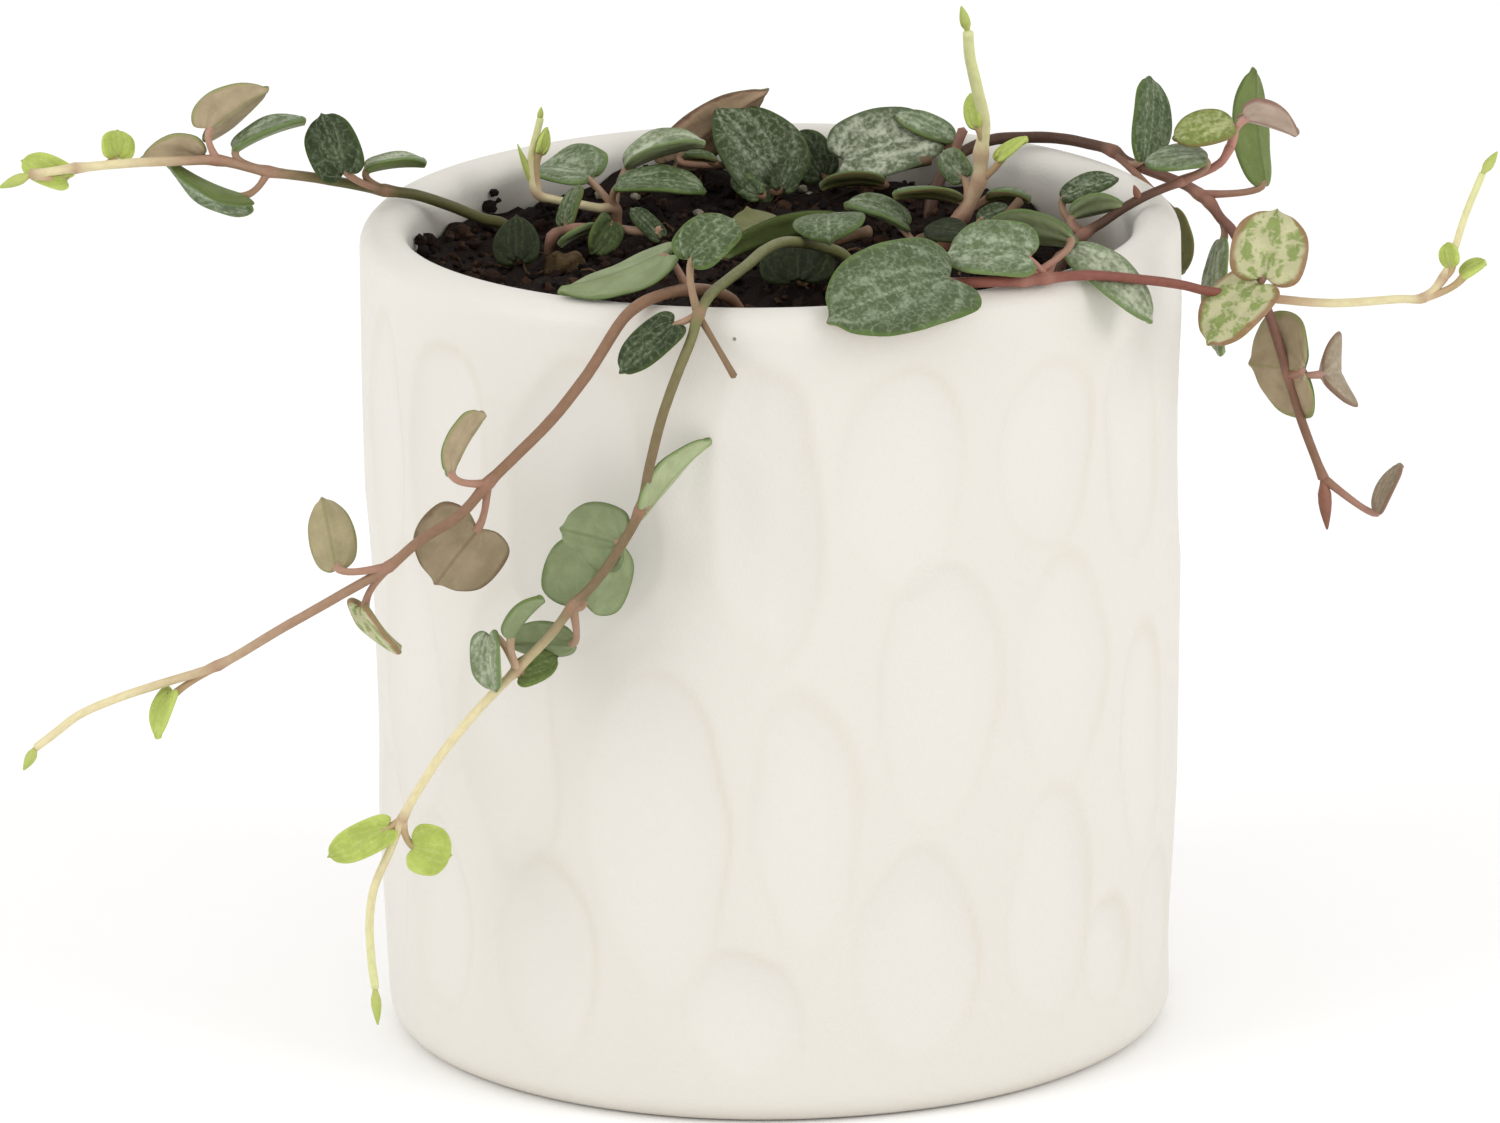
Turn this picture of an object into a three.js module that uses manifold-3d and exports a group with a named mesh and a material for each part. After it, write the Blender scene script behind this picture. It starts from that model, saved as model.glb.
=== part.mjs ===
// Potted string of hearts (Ceropegia woodii) in a dimpled white ceramic pot.
// Millimetres, +Z up. The origin is the middle of the pot's flat base, and -Y is the front.

import * as THREE from 'three';
import { mergeVertices } from 'three/addons/utils/BufferGeometryUtils.js';
import Module from 'manifold-3d';

const wasm = await Module();
wasm.setup();

// Pot

const POT_HEIGHT = 91;
const POT_TOP_RADIUS = 45;
const POT_BASE_RADIUS = 43.3;
const POT_BULGE = 0.6;
const POT_WALL = 5.3;
const POT_FLOOR = 5;
const POT_INNER_CHAMFER = 4;
const BASE_ROUNDING = 3.2;
const DIMPLE_DEPTH = 1.1;
const POT_SEGMENTS = 52;
const POT_WALL_ROWS = 12;
const LIP_STEPS = 4;
const ROUNDING_STEPS = 3;

const LIP_RADIUS = POT_WALL / 2;
const INNER_RADIUS = POT_TOP_RADIUS - POT_WALL;

// The pressed dimples of the front: [angle, height, half width in degrees, half height].
// Angle 0 is the front and grows to the right.
const FRONT_DIMPLES = [
  [-70, 70, 7, 14], [-52, 70, 9, 14], [-28, 68, 12, 17], [-1, 68, 8, 16], [18, 72, 10, 12],
  [41, 73, 9.5, 11], [60, 70, 8, 12],
  [-63, 44, 9, 15], [-41, 42, 9, 17], [-17, 33, 10.5, 18], [4, 35, 8, 16], [24, 48, 9.5, 14.5],
  [44, 48, 9, 13], [64, 36, 7, 14],
  [-75, 22, 7, 13], [-58, 18, 8, 11], [-35, 16, 9, 12], [-5, 12, 8.5, 8.5], [20, 18, 10, 12],
  [42, 21, 8.5, 13.5], [55, 14, 6, 7], [71, 14, 7, 9],
];

// Around the hidden back the same oval dimples stand in three staggered rows.
const BACK_START = 84;
const BACK_END = 276;
const BACK_COLUMNS = 9;
const BACK_ROWS = [68, 40, 13];

// Soil

const SOIL_CLEARANCE = 0.4;
const SOIL_LEVEL = 84.2;
const SOIL_SEGMENTS = 32;
const SOIL_RINGS = 5;
const HOLE_CLEARANCE = 0.35;
const HOLE_SIDES = 6;

// Leaves and stalks

const MIDRIB_THICKNESS = 1.2;
const SMALL_MIDRIB_THICKNESS = 0.9;
const SMALL_LEAF = 4.5;
const EDGE_THICKNESS = 0.7;
const LEAF_ARCH = 0.05;
const LEAF_FOLD = 12;
const PETIOLE_RADIUS = 0.42;
const PETIOLE_STEPS = 3;
const SHORT_PETIOLE = 3.5;
const PETIOLE_SIDES = 4;
const STEM_SIDES = 5;
const KNOT_SWELL = 1.3;
const KNOT_REACH = 1;

// Half of each leaf form: [share of the half width, share of the length] from the notch to the tip.
const HALVES = {
  heart: [[0, 0], [0.4, -0.16], [0.88, -0.03], [1, 0.28], [0.8, 0.62], [0.34, 0.9], [0, 1.03]],
  round: [[0, 0], [0.42, -0.12], [0.88, 0], [1, 0.34], [0.9, 0.7], [0.5, 0.95], [0, 1.05]],
  oval: [[0, 0], [0.4, 0], [0.84, 0.16], [1, 0.46], [0.86, 0.76], [0.44, 0.97], [0, 1.05]],
};

// Where each outline point is joined to the midrib.
const MIDRIB_ROWS = [0, 0, 0.3, 0.3, 0.68, 0.68, 1.04];

const radians = THREE.MathUtils.degToRad;
const smooth = THREE.MathUtils.smoothstep;
const vector = (point) => new THREE.Vector3(...point);

// Closed geometry and boolean work

function closed(geometry) {
  geometry.deleteAttribute('normal');
  geometry.deleteAttribute('uv');
  const merged = mergeVertices(geometry, 1e-4);
  const index = merged.index.array;
  const kept = [];
  for (let i = 0; i < index.length; i += 3) {
    const [a, b, c] = [index[i], index[i + 1], index[i + 2]];
    if (a !== b && b !== c && c !== a) kept.push(a, b, c);
  }
  merged.setIndex(kept);
  return merged;
}

function solid(geometry) {
  return new wasm.Manifold(new wasm.Mesh({
    numProp: 3,
    vertProperties: Float32Array.from(geometry.attributes.position.array),
    triVerts: Uint32Array.from(geometry.index.array),
  }));
}

function geometryOf(manifold) {
  const mesh = manifold.getMesh();
  const geometry = new THREE.BufferGeometry();
  geometry.setAttribute('position', new THREE.BufferAttribute(new Float32Array(mesh.vertProperties), 3));
  geometry.setIndex(new THREE.BufferAttribute(new Uint32Array(mesh.triVerts), 1));
  return geometry;
}

function geometryFrom(points, triangles) {
  const geometry = new THREE.BufferGeometry();
  const numbers = points.flatMap((point) => [point.x, point.y, point.z]);
  geometry.setAttribute('position', new THREE.Float32BufferAttribute(numbers, 3));
  geometry.setIndex(triangles);
  return geometry;
}

// A body turned about +Z from a profile of [radius, height] that starts and ends on the axis.
function turned(profile, segments) {
  const geometry = new THREE.LatheGeometry(profile.map(([r, z]) => new THREE.Vector2(r, z)), segments);
  geometry.rotateX(Math.PI / 2);
  return closed(geometry);
}

function movePoints(geometry, move) {
  const position = geometry.attributes.position;
  const point = new THREE.Vector3();
  for (let i = 0; i < position.count; i += 1) {
    point.fromBufferAttribute(position, i);
    move(point);
    position.setXYZ(i, point.x, point.y, point.z);
  }
  return geometry;
}

// Pot

function allDimples() {
  const dimples = [...FRONT_DIMPLES];
  const step = (BACK_END - BACK_START) / BACK_COLUMNS;
  for (let column = 0; column < BACK_COLUMNS; column += 1) {
    BACK_ROWS.forEach((height, row) => {
      const angle = BACK_START + step * (column + 0.25 + 0.5 * (row % 2));
      const sway = Math.sin(column * 2.3 + row * 1.7);
      dimples.push([angle, height + 3 * sway, 0.5 * step - 1 + sway, 15 + 3 * sway]);
    });
  }
  return dimples;
}

const DIMPLES = allDimples();

// How deep the glaze is pressed in at an angle from the front and a height.
function dimpleDepth(angle, height) {
  let depth = 0;
  for (const [centre, middle, halfWidth, halfHeight] of DIMPLES) {
    const across = (((angle - centre + 540) % 360) - 180) / halfWidth;
    const along = (height - middle) / halfHeight;
    const away = across * across + along * along;
    if (away < 1) depth = Math.max(depth, DIMPLE_DEPTH * (1 - away * away));
  }
  return depth;
}

function outerRadius(height) {
  const share = height / POT_HEIGHT;
  return THREE.MathUtils.lerp(POT_BASE_RADIUS, POT_TOP_RADIUS, share) + POT_BULGE * Math.sin(Math.PI * share);
}

function potGeometry() {
  const profile = [[0, 0]];
  for (let i = 0; i <= ROUNDING_STEPS; i += 1) {
    const turn = (i / ROUNDING_STEPS) * Math.PI / 2;
    const radius = outerRadius(BASE_ROUNDING) - BASE_ROUNDING * (1 - Math.sin(turn));
    profile.push([radius, BASE_ROUNDING * (1 - Math.cos(turn))]);
  }
  const wallTop = POT_HEIGHT - LIP_RADIUS;
  for (let row = 1; row <= POT_WALL_ROWS; row += 1) {
    const height = THREE.MathUtils.lerp(BASE_ROUNDING, wallTop, row / POT_WALL_ROWS);
    profile.push([outerRadius(height), height]);
  }
  for (let i = 1; i <= LIP_STEPS; i += 1) {
    const turn = (i / LIP_STEPS) * Math.PI;
    const middle = POT_TOP_RADIUS - LIP_RADIUS;
    profile.push([middle + LIP_RADIUS * Math.cos(turn), wallTop + LIP_RADIUS * Math.sin(turn)]);
  }
  profile.push([INNER_RADIUS, POT_FLOOR + POT_INNER_CHAMFER]);
  profile.push([INNER_RADIUS - POT_INNER_CHAMFER, POT_FLOOR]);
  profile.push([0, POT_FLOOR]);
  return movePoints(turned(profile, POT_SEGMENTS), (point) => {
    const radius = Math.hypot(point.x, point.y);
    if (radius < INNER_RADIUS + POT_WALL / 2 || point.z < 1 || point.z > wallTop) return;
    const angle = THREE.MathUtils.radToDeg(Math.atan2(point.x, -point.y));
    const share = 1 - dimpleDepth(angle, point.z) / radius;
    point.x *= share;
    point.y *= share;
  });
}

// Soil

// The soil is heaped at the back and the left, and sinks towards the right wall.
function soilHeight(x, y) {
  const back = 1.3 * smooth(y, 8, 34);
  const left = 1.2 * smooth(-x, 27, 38);
  const right = 5 * smooth(x, 14, 36) * smooth(30 - y, 0, 22);
  const front = 3 * smooth(4 - y, 0, 20) * smooth(20 - Math.abs(x - 6), 0, 14);
  const crumbs = 0.45 * Math.sin(0.9 * x + 1.3) * Math.sin(0.8 * y) + 0.3 * Math.sin(1.7 * x - 1.1 * y);
  return SOIL_LEVEL + back + left - right - front + crumbs;
}

function soilGeometry() {
  const rim = INNER_RADIUS - SOIL_CLEARANCE;
  const floor = POT_FLOOR + SOIL_CLEARANCE;
  const profile = [[0, floor], [rim - POT_INNER_CHAMFER, floor], [rim, floor + POT_INNER_CHAMFER]];
  for (let ring = SOIL_RINGS; ring >= 0; ring -= 1) profile.push([rim * ring / SOIL_RINGS, SOIL_LEVEL]);
  return movePoints(turned(profile, SOIL_SEGMENTS), (point) => {
    if (point.z > SOIL_LEVEL - 1) point.z = soilHeight(point.x, point.y);
  });
}

// An upright plug that leaves a plain hole round a buried stem.
function holePlug([x, y, z], radius) {
  const depth = 30;
  const plug = new THREE.CylinderGeometry(radius, radius, depth, HOLE_SIDES);
  plug.rotateX(Math.PI / 2);
  plug.translate(x, y, z - HOLE_CLEARANCE + depth / 2);
  return solid(closed(plug));
}

// Stems, petioles and buds

// A round stalk through the points, with one radius a point and flat ends.
function stalk(points, radii, sides) {
  const rings = [];
  const tangent = new THREE.Vector3();
  const side = new THREE.Vector3();
  const normal = new THREE.Vector3(0.3, 0.4, 0.87);
  points.forEach((point, i) => {
    const before = points[Math.max(i - 1, 0)];
    const after = points[Math.min(i + 1, points.length - 1)];
    tangent.subVectors(after, before).normalize();
    side.crossVectors(tangent, normal).normalize();
    normal.crossVectors(side, tangent).normalize();
    for (let k = 0; k < sides; k += 1) {
      const turn = (2 * Math.PI * k) / sides;
      const spot = point.clone();
      spot.addScaledVector(side, radii[i] * Math.cos(turn));
      spot.addScaledVector(normal, radii[i] * Math.sin(turn));
      rings.push(spot);
    }
  });
  const triangles = [];
  for (let i = 0; i + 1 < points.length; i += 1) {
    for (let k = 0; k < sides; k += 1) {
      const a = i * sides + k;
      const b = i * sides + (k + 1) % sides;
      triangles.push(a, a + sides, b, b, a + sides, b + sides);
    }
  }
  const last = (points.length - 1) * sides;
  for (let k = 1; k + 1 < sides; k += 1) {
    triangles.push(0, k, k + 1);
    triangles.push(last, last + k + 1, last + k);
  }
  return outward(geometryFrom(rings, triangles));
}

// Turns the faces round where the solid would be inside out.
function outward(geometry) {
  const index = geometry.index.array;
  const position = geometry.attributes.position;
  const [a, b, c] = [new THREE.Vector3(), new THREE.Vector3(), new THREE.Vector3()];
  let volume = 0;
  for (let i = 0; i < index.length; i += 3) {
    a.fromBufferAttribute(position, index[i]);
    b.fromBufferAttribute(position, index[i + 1]);
    c.fromBufferAttribute(position, index[i + 2]);
    volume += a.dot(b.cross(c));
  }
  if (volume < 0) index.reverse();
  return geometry;
}

// The stem tapers from its root to its end and swells at the knots that carry leaves.
function stemSolid(stem, radii, knots) {
  const points = [];
  const sizes = [];
  stem.forEach((spot, i) => {
    const point = vector(spot);
    const radius = THREE.MathUtils.lerp(radii[0], radii[1], i / (stem.length - 1));
    const inner = knots.has(i) && i > 0 && i < stem.length - 1;
    if (inner) {
      const before = vector(stem[i - 1]);
      points.push(point.clone().lerp(before, Math.min(KNOT_REACH / point.distanceTo(before), 0.4)));
      sizes.push(radius);
    }
    points.push(point);
    sizes.push(inner ? radius * KNOT_SWELL : radius);
    if (inner) {
      const after = vector(stem[i + 1]);
      points.push(point.clone().lerp(after, Math.min(KNOT_REACH / point.distanceTo(after), 0.4)));
      sizes.push(radius);
    }
  });
  return solid(stalk(points, sizes, STEM_SIDES));
}

// The petiole leaves the knot and curves into the notch of the blade from below.
function petioleSolid(start, leaf) {
  const { base, axis, faces } = leafFrame(leaf);
  const reach = start.distanceTo(base);
  const bow = Math.min(0.25 * reach, 1);
  const arrival = base.clone().addScaledVector(axis, -bow).addScaledVector(faces, -bow);
  const leaving = start.clone().lerp(arrival, 0.5);
  const end = base.clone().addScaledVector(axis, 0.6);
  const curve = new THREE.CubicBezierCurve3(start, leaving, arrival, end);
  const points = curve.getPoints(reach < SHORT_PETIOLE ? PETIOLE_STEPS - 1 : PETIOLE_STEPS);
  return solid(stalk(points, points.map(() => PETIOLE_RADIUS), PETIOLE_SIDES));
}

// A bud or a young tip: a short stalk that swells and comes to a point.
function budSolid([from, to, radius]) {
  const start = vector(from);
  const end = vector(to);
  const shares = [0, 0.3, 0.65, 1];
  const sizes = [0.45, 1, 0.85, 0.25];
  const points = shares.map((share) => start.clone().lerp(end, share));
  return solid(stalk(points, sizes.map((size) => size * radius), STEM_SIDES));
}

function twigSolid([from, to, radius]) {
  const start = vector(from);
  const end = vector(to);
  const points = [start, start.clone().lerp(end, 0.5), end];
  return solid(stalk(points, [radius, radius * 0.85, radius], PETIOLE_SIDES));
}

// Leaves

function leafFrame(leaf) {
  const base = vector(leaf.base);
  const axis = vector(leaf.tip).sub(base);
  const length = axis.length();
  axis.divideScalar(length);
  const faces = vector(leaf.faces);
  faces.addScaledVector(axis, -faces.dot(axis)).normalize();
  const side = new THREE.Vector3().crossVectors(axis, faces);
  return { base, axis, faces, side, length };
}

// One fleshy leaf: two halves that fold up from the midrib, arched along it, thin at the edge.
function leafSolid(leaf) {
  const { base, axis, faces, side, length } = leafFrame(leaf);
  const fold = radians(leaf.fold);
  const middle = leaf.width < SMALL_LEAF ? SMALL_MIDRIB_THICKNESS : MIDRIB_THICKNESS;
  const points = [];
  const place = (across, along, hand, lift) => {
    const reach = across * leaf.width / 2;
    const rise = reach * Math.sin(fold) + leaf.arch * length * 4 * along * (1 - along);
    const spot = base.clone().addScaledVector(axis, along * length);
    spot.addScaledVector(side, hand * (reach * Math.cos(fold) - (across > 0 ? lift * Math.sin(fold) : 0)));
    spot.addScaledVector(faces, rise + lift * (across > 0 ? Math.cos(fold) : 1));
    points.push(spot);
    return points.length - 1;
  };
  const rib = [];
  const edges = { left: [], right: [] };
  const outline = HALVES[leaf.form];
  const last = outline.length - 1;
  outline.forEach(([across, along], i) => {
    const thick = i === 0 || i === last ? EDGE_THICKNESS : middle;
    if (MIDRIB_ROWS[i] === MIDRIB_ROWS[i - 1]) rib.push(rib[i - 1]);
    else rib.push([place(0, MIDRIB_ROWS[i], 1, thick / 2), place(0, MIDRIB_ROWS[i], 1, -thick / 2)]);
    for (const [name, hand] of [['left', -1], ['right', 1]]) {
      if (i === 0 || i === last) edges[name].push(rib[i]);
      else edges[name].push([1, -1].map((face) => place(across, along, hand, face * EDGE_THICKNESS / 2)));
    }
  });
  const triangles = [];
  const quad = (a, b, c, d, flip) => {
    const pairs = flip ? [[a, c, b], [a, d, c]] : [[a, b, c], [a, c, d]];
    for (const [p, q, r] of pairs) if (p !== q && q !== r && r !== p) triangles.push(p, q, r);
  };
  for (const name of ['left', 'right']) {
    const flip = name === 'right';
    const edge = edges[name];
    for (let i = 0; i < last; i += 1) {
      quad(rib[i][0], rib[i + 1][0], edge[i + 1][0], edge[i][0], flip);
      quad(rib[i][1], rib[i + 1][1], edge[i + 1][1], edge[i][1], !flip);
      quad(edge[i][0], edge[i + 1][0], edge[i + 1][1], edge[i][1], flip);
    }
  }
  return solid(outward(geometryFrom(points, triangles)));
}

// A leaf grows from a point of the stem. It has its notch, its tip, the way its upper side looks, its
// width and its form.
function leaf(node, base, tip, faces, width, form, fold = LEAF_FOLD, arch = LEAF_ARCH) {
  return { node, base, tip, faces, width, form, fold, arch };
}

// The plant. Each entry is one rooted stem with all that grows on it.

const PLANTS = [
  {
    name: 'vine_left',
    colour: 0x6f7a55,
    radii: [0.65, 0.5],
    stem: [
      [-29, 17, 79], [-29, 17, 85.5], [-32, 14, 87.5], [-35.3, 11, 89.7], [-39, 8.5, 91.6], [-42.3, 7, 92.5],
      [-46, 6.5, 93.4], [-50, 6, 94.3], [-55, 5, 95.3], [-60.5, 4, 96.9], [-63.8, 3.5, 97], [-69, 3, 97],
      [-76, 2, 96.7], [-80.8, 1, 96.3],
    ],
    leaves: [
      leaf(5, [-46.6, 4.5, 95.3], [-49, 7, 101], [-0.2, -0.9, 0.3], 6.4, 'round', 20),
      leaf(5, [-44.4, 6.5, 95.2], [-38, 7.5, 95.6], [0, 0.05, 1], 5, 'oval', 20),
      leaf(8, [-58.8, 4.5, 98.1], [-51.2, 5.5, 101], [-0.3, -0.1, 0.9], 5.2, 'oval', 18),
      leaf(8, [-57.8, 4, 92.4], [-66, 5.5, 96.2], [-0.4, -0.4, -0.8], 7.5, 'heart', 30),
      leaf(9, [-61.5, 4.5, 100.5], [-55, 6, 104.5], [-0.7, 0.7, 0.1], 6.5, 'heart', 20),
      leaf(9, [-62.5, 5.5, 97], [-69, 6.5, 96.5], [0.5, 0.5, 0.7], 6.5, 'heart', 28),
      leaf(12, [-71.5, 4, 97.5], [-71.5, 5.5, 100], [0.4, -0.9, 0.2], 4, 'round'),
      leaf(13, [-77, 1.8, 95.6], [-81.8, 3.5, 97.2], [-0.1, -0.8, 0.5], 3.6, 'round'),
    ],
    buds: [[[-80.8, 1, 96.3], [-84.3, 0.5, 95], 0.75]],
  },
  {
    name: 'vine_front_left',
    colour: 0x8a6a58,
    radii: [0.7, 0.45],
    stem: [
      [-3, -22, 75], [-3, -22, 83.5], [-4, -26, 87.5], [-6, -31, 90], [-9, -36, 91.6], [-12.3, -40.5, 92],
      [-14.2, -42.7, 91.6], [-15.8, -44.5, 90.6], [-19.6, -49, 85.8], [-23.5, -52, 81.6], [-28.7, -54, 76.9],
      [-30.3, -54, 75.3], [-33.2, -54, 72], [-37.6, -53, 68.9], [-41, -52, 65.8], [-46.4, -50, 62.1],
      [-52.9, -48, 57.9], [-59.7, -45, 53.2], [-65.9, -43, 50.7], [-70.6, -42, 48.9], [-75, -41, 46.7],
      [-77.6, -41, 44.7], [-79.6, -41, 43.2],
    ],
    leaves: [
      leaf(4, [-11.6, -36, 95], [-22.4, -36.5, 91.6], [0.2, 0.2, -1], 8.5, 'heart', 3),
      leaf(11, [-34.5, -54, 76.5], [-31, -50.5, 82], [-0.9, 0.4, 0.3], 7, 'oval'),
      leaf(11, [-31.5, -50.5, 69.5], [-36, -51.5, 64], [-0.2, 1, -0.1], 10.5, 'round'),
      leaf(14, [-46.5, -50, 65], [-48, -46, 71.5], [0.2, 0.8, -0.6], 5.5, 'oval', 20),
      leaf(14, [-44, -49, 60.5], [-40.5, -46.5, 55], [-0.7, -0.4, -0.6], 6.5, 'round', 8),
      leaf(17, [-65, -43, 49.5], [-66.5, -44, 45], [-0.8, -0.5, 0.4], 4, 'heart'),
    ],
    buds: [[[-79.6, -41, 43.2], [-81, -41, 40.7], 0.7]],
  },
  {
    name: 'vine_front',
    colour: 0x7d8a5c,
    radii: [0.65, 0.45],
    stem: [
      [9.5, -3, 75], [9.5, -3, 84], [8, -5.5, 87.5], [5.5, -8.5, 89.3], [3.9, -11, 90.3], [1.5, -16, 91.7],
      [-0.5, -22, 92.4], [-2.5, -29, 92.5], [-4.8, -36.5, 92.6], [-6.6, -42, 92.4], [-7.8, -45.5, 91.2],
      [-8.6, -47.5, 89], [-10.1, -49, 85.7], [-11.9, -50, 80.9], [-13.2, -51, 76.1], [-14.3, -51, 71.3],
      [-17.1, -51, 66.3], [-19.3, -51, 63.3], [-21.6, -51, 60.9], [-24, -50, 57.5], [-27.6, -49, 53.5],
      [-32.5, -48, 48.1], [-36.6, -47, 42.6], [-40.3, -45, 35.9], [-41.7, -44, 32.2], [-43.6, -43, 27.5],
      [-44.2, -42, 23.4], [-44.1, -41.5, 19], [-43.8, -41, 15.7],
    ],
    leaves: [
      leaf(10, [-10.5, -47, 90.5], [-16, -48.5, 86], [-0.4, -0.8, 0.4], 4.5, 'round'),
      leaf(10, [-8.5, -42, 96.5], [-4, -38, 99.5], [-0.2, -0.7, 0.6], 6.5, 'round', 18),
      leaf(15, [-13.5, -50.5, 72], [-7, -45.5, 77.5], [-0.8, 0.5, 0.4], 5.5, 'heart'),
      leaf(15, [-16.5, -50, 67.5], [-22.5, -47.5, 68.5], [0.1, 1, -0.1], 7.5, 'round'),
      leaf(18, [-20.5, -48.5, 60.5], [-18, -48, 67.5], [-0.3, 0.9, -0.2], 10.5, 'round', 18),
      leaf(18, [-21.5, -48, 56], [-28.5, -45.5, 55.5], [0.4, 0.9, 0.2], 4.5, 'oval', 16),
      leaf(20, [-28.5, -50.5, 57.5], [-25, -51.5, 62], [-0.6, 0.5, 0.6], 4.5, 'oval', 20),
      leaf(20, [-30.5, -48.5, 57], [-30, -50, 51.5], [-0.6, -0.8, -0.1], 5, 'round', 30),
      leaf(20, [-27.5, -48, 52.5], [-23.5, -46.5, 54], [0.3, -0.8, 0.5], 3.5, 'round'),
      leaf(23, [-42, -45, 34.8], [-48.2, -44, 31.5], [0, -1, 0.3], 4, 'round', 15),
      leaf(23, [-39.2, -45, 32.7], [-35.3, -44.7, 31.6], [0, -1, 0.3], 5.6, 'round', 8),
    ],
    buds: [[[-43.8, -41, 15.7], [-43.6, -41, 11.5], 0.65]],
    twigs: [[[-7.8, -45.5, 91.2], [-4.1, -48.5, 85.2], 0.4]],
  },
  {
    name: 'vine_right',
    colour: 0x8c5a52,
    radii: [0.65, 0.4],
    stem: [
      [11, -20, 74], [11, -20, 82.5], [12, -25, 87], [14, -30, 89.8], [18.5, -34, 91.3], [22.3, -36.2, 92],
      [27, -35, 91.8], [29.4, -33.7, 91.7], [34, -31, 91.3], [39, -28.5, 90.2], [43.9, -26.5, 89],
      [46.8, -25.5, 88], [51.3, -24, 87.1], [54.7, -22.5, 86.2], [60.6, -21, 85.3], [67.9, -20, 85.4],
      [70.5, -20, 85.5], [72.6, -20, 87.7], [73.6, -20, 90.2], [75, -20, 94.7], [76.8, -20, 99.2],
    ],
    leaves: [
      leaf(4, [19, -38.5, 93], [6.5, -45.5, 90.5], [0, -0.6, 0.8], 13, 'round', 8),
      leaf(7, [27.5, -33.5, 94], [19, -32.5, 94], [-0.1, -0.5, 0.9], 9, 'round', 15),
      leaf(6, [32.5, -27, 94.5], [23.5, -22.5, 94], [0.3, 0.6, 0.7], 7.5, 'oval', 8),
      leaf(7, [32, -26, 93], [40.5, -29, 86], [0.4, -0.5, 0.8], 6.5, 'oval', 3, 0.1),
      leaf(12, [53, -25.5, 89.5], [54.5, -23, 96], [0, -1, 0.3], 8.5, 'round', 10),
      leaf(12, [52.5, -25.5, 88.5], [47, -28, 83], [-0.5, -0.7, 0.6], 8, 'round', 10),
      leaf(17, [73.5, -20.5, 89], [73, -20, 91.5], [-0.5, -0.8, 0.2], 2.5, 'oval'),
      leaf(16, [74.5, -20.5, 88], [77, -20, 89.5], [-0.3, -0.2, 0.9], 3, 'oval'),
    ],
    buds: [[[76.8, -20, 99.2], [78.4, -20, 101.6], 0.65]],
  },
  {
    name: 'vine_back_right',
    colour: 0x5c463a,
    radii: [0.7, 0.5],
    stem: [
      [18, 22.5, 78], [18, 22.5, 86.3], [20.5, 25.5, 90.5], [24.7, 27.8, 92.2], [28.8, 29, 92.2],
      [32.2, 28.5, 92.2], [35.6, 26.5, 92], [38.4, 24, 91.7], [39.8, 22.5, 90.9], [46.3, 18.5, 89],
      [47.7, 17, 88.3], [48.8, 16, 87.6], [50, 14.5, 86.1], [51.2, 13, 85.1], [53.2, 12, 81],
      [55.1, 11.5, 76], [56.3, 11, 72.2], [57.2, 11, 69.1], [58.3, 11, 65.1], [59.6, 11, 61.2],
      [61.1, 11, 57.2],
    ],
    leaves: [
      leaf(7, [41.5, 20.5, 91.2], [42.5, 25, 99.5], [0.7, -0.7, 0], 7, 'oval', 10),
      leaf(7, [44.7, 15.5, 87.2], [45.7, 14.5, 80.2], [1, 0.3, 0], 5.4, 'oval', 17),
      leaf(10, [54.6, 15.5, 89.6], [53.7, 19.5, 101.4], [-0.6, 0.7, -0.3], 5.5, 'oval', 15),
      leaf(11, [50, 13.5, 84], [49.5, 9, 72.5], [-0.9, -0.4, 0], 6.5, 'oval', 4),
      leaf(17, [59, 9.5, 70], [53.5, 15, 69.5], [0.8, 0.6, 0.1], 12.5, 'round', 6),
      leaf(17, [61, 9.5, 69.5], [63, 15.5, 68], [0.9, -0.3, 0.3], 9.5, 'oval', 24),
      leaf(20, [67, 9.5, 53.5], [69.5, 11, 58.5], [-0.9, -0.3, 0.3], 4, 'oval', 6),
    ],
    buds: [[[61.1, 11, 57.2], [61.5, 10.5, 51.4], 0.9]],
    twigs: [[[20.3, 25, 90.3], [21.7, 25.5, 94], 0.6]],
  },
  {
    name: 'vine_rim',
    colour: 0x7a5347,
    radii: [0.6, 0.45],
    stem: [
      [31, -3, 72], [31, -3, 81], [32, -3, 86], [34.3, -2, 88.6], [36.4, -1, 89.7], [39, 0, 91.2],
      [41.6, 1, 92.3], [44.2, 2, 93.1], [45.2, 2.5, 93.4], [49.4, 3, 95.2], [50.6, 3.2, 97],
    ],
    leaves: [
      leaf(3, [32, 3, 91.5], [38, 3.5, 93.5], [-0.4, -0.6, 0.7], 3.5, 'oval', 20),
      leaf(3, [33, 1, 90.2], [38.5, 0, 91.5], [-0.1, 0.7, 0.7], 4.5, 'oval', 17),
      leaf(8, [48, 2, 96], [41.5, 2.5, 95.5], [0.3, -0.2, 0.9], 6.5, 'oval', 3),
      leaf(10, [51, 3, 99.5], [44.5, 1.5, 98.6], [-0.2, -0.7, 0.7], 5, 'oval'),
      leaf(10, [52.5, 3.5, 100.5], [58, 3.5, 98.5], [0.2, 0.6, 0.8], 7, 'heart', 15),
    ],
    buds: [[[40.5, 0.5, 91.8], [39.9, 0, 93.6], 0.5]],
  },
  {
    name: 'shoot_tall',
    colour: 0xa9b98a,
    radii: [0.85, 0.6],
    stem: [
      [19.5, 12, 77], [19.5, 12, 85.5], [21.3, 12, 87.5], [23.2, 12, 91.4], [23.4, 12, 94.4], [23.8, 12, 98],
      [23, 12, 102.1], [22.3, 12, 105.5], [22.1, 12, 108.3],
    ],
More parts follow.
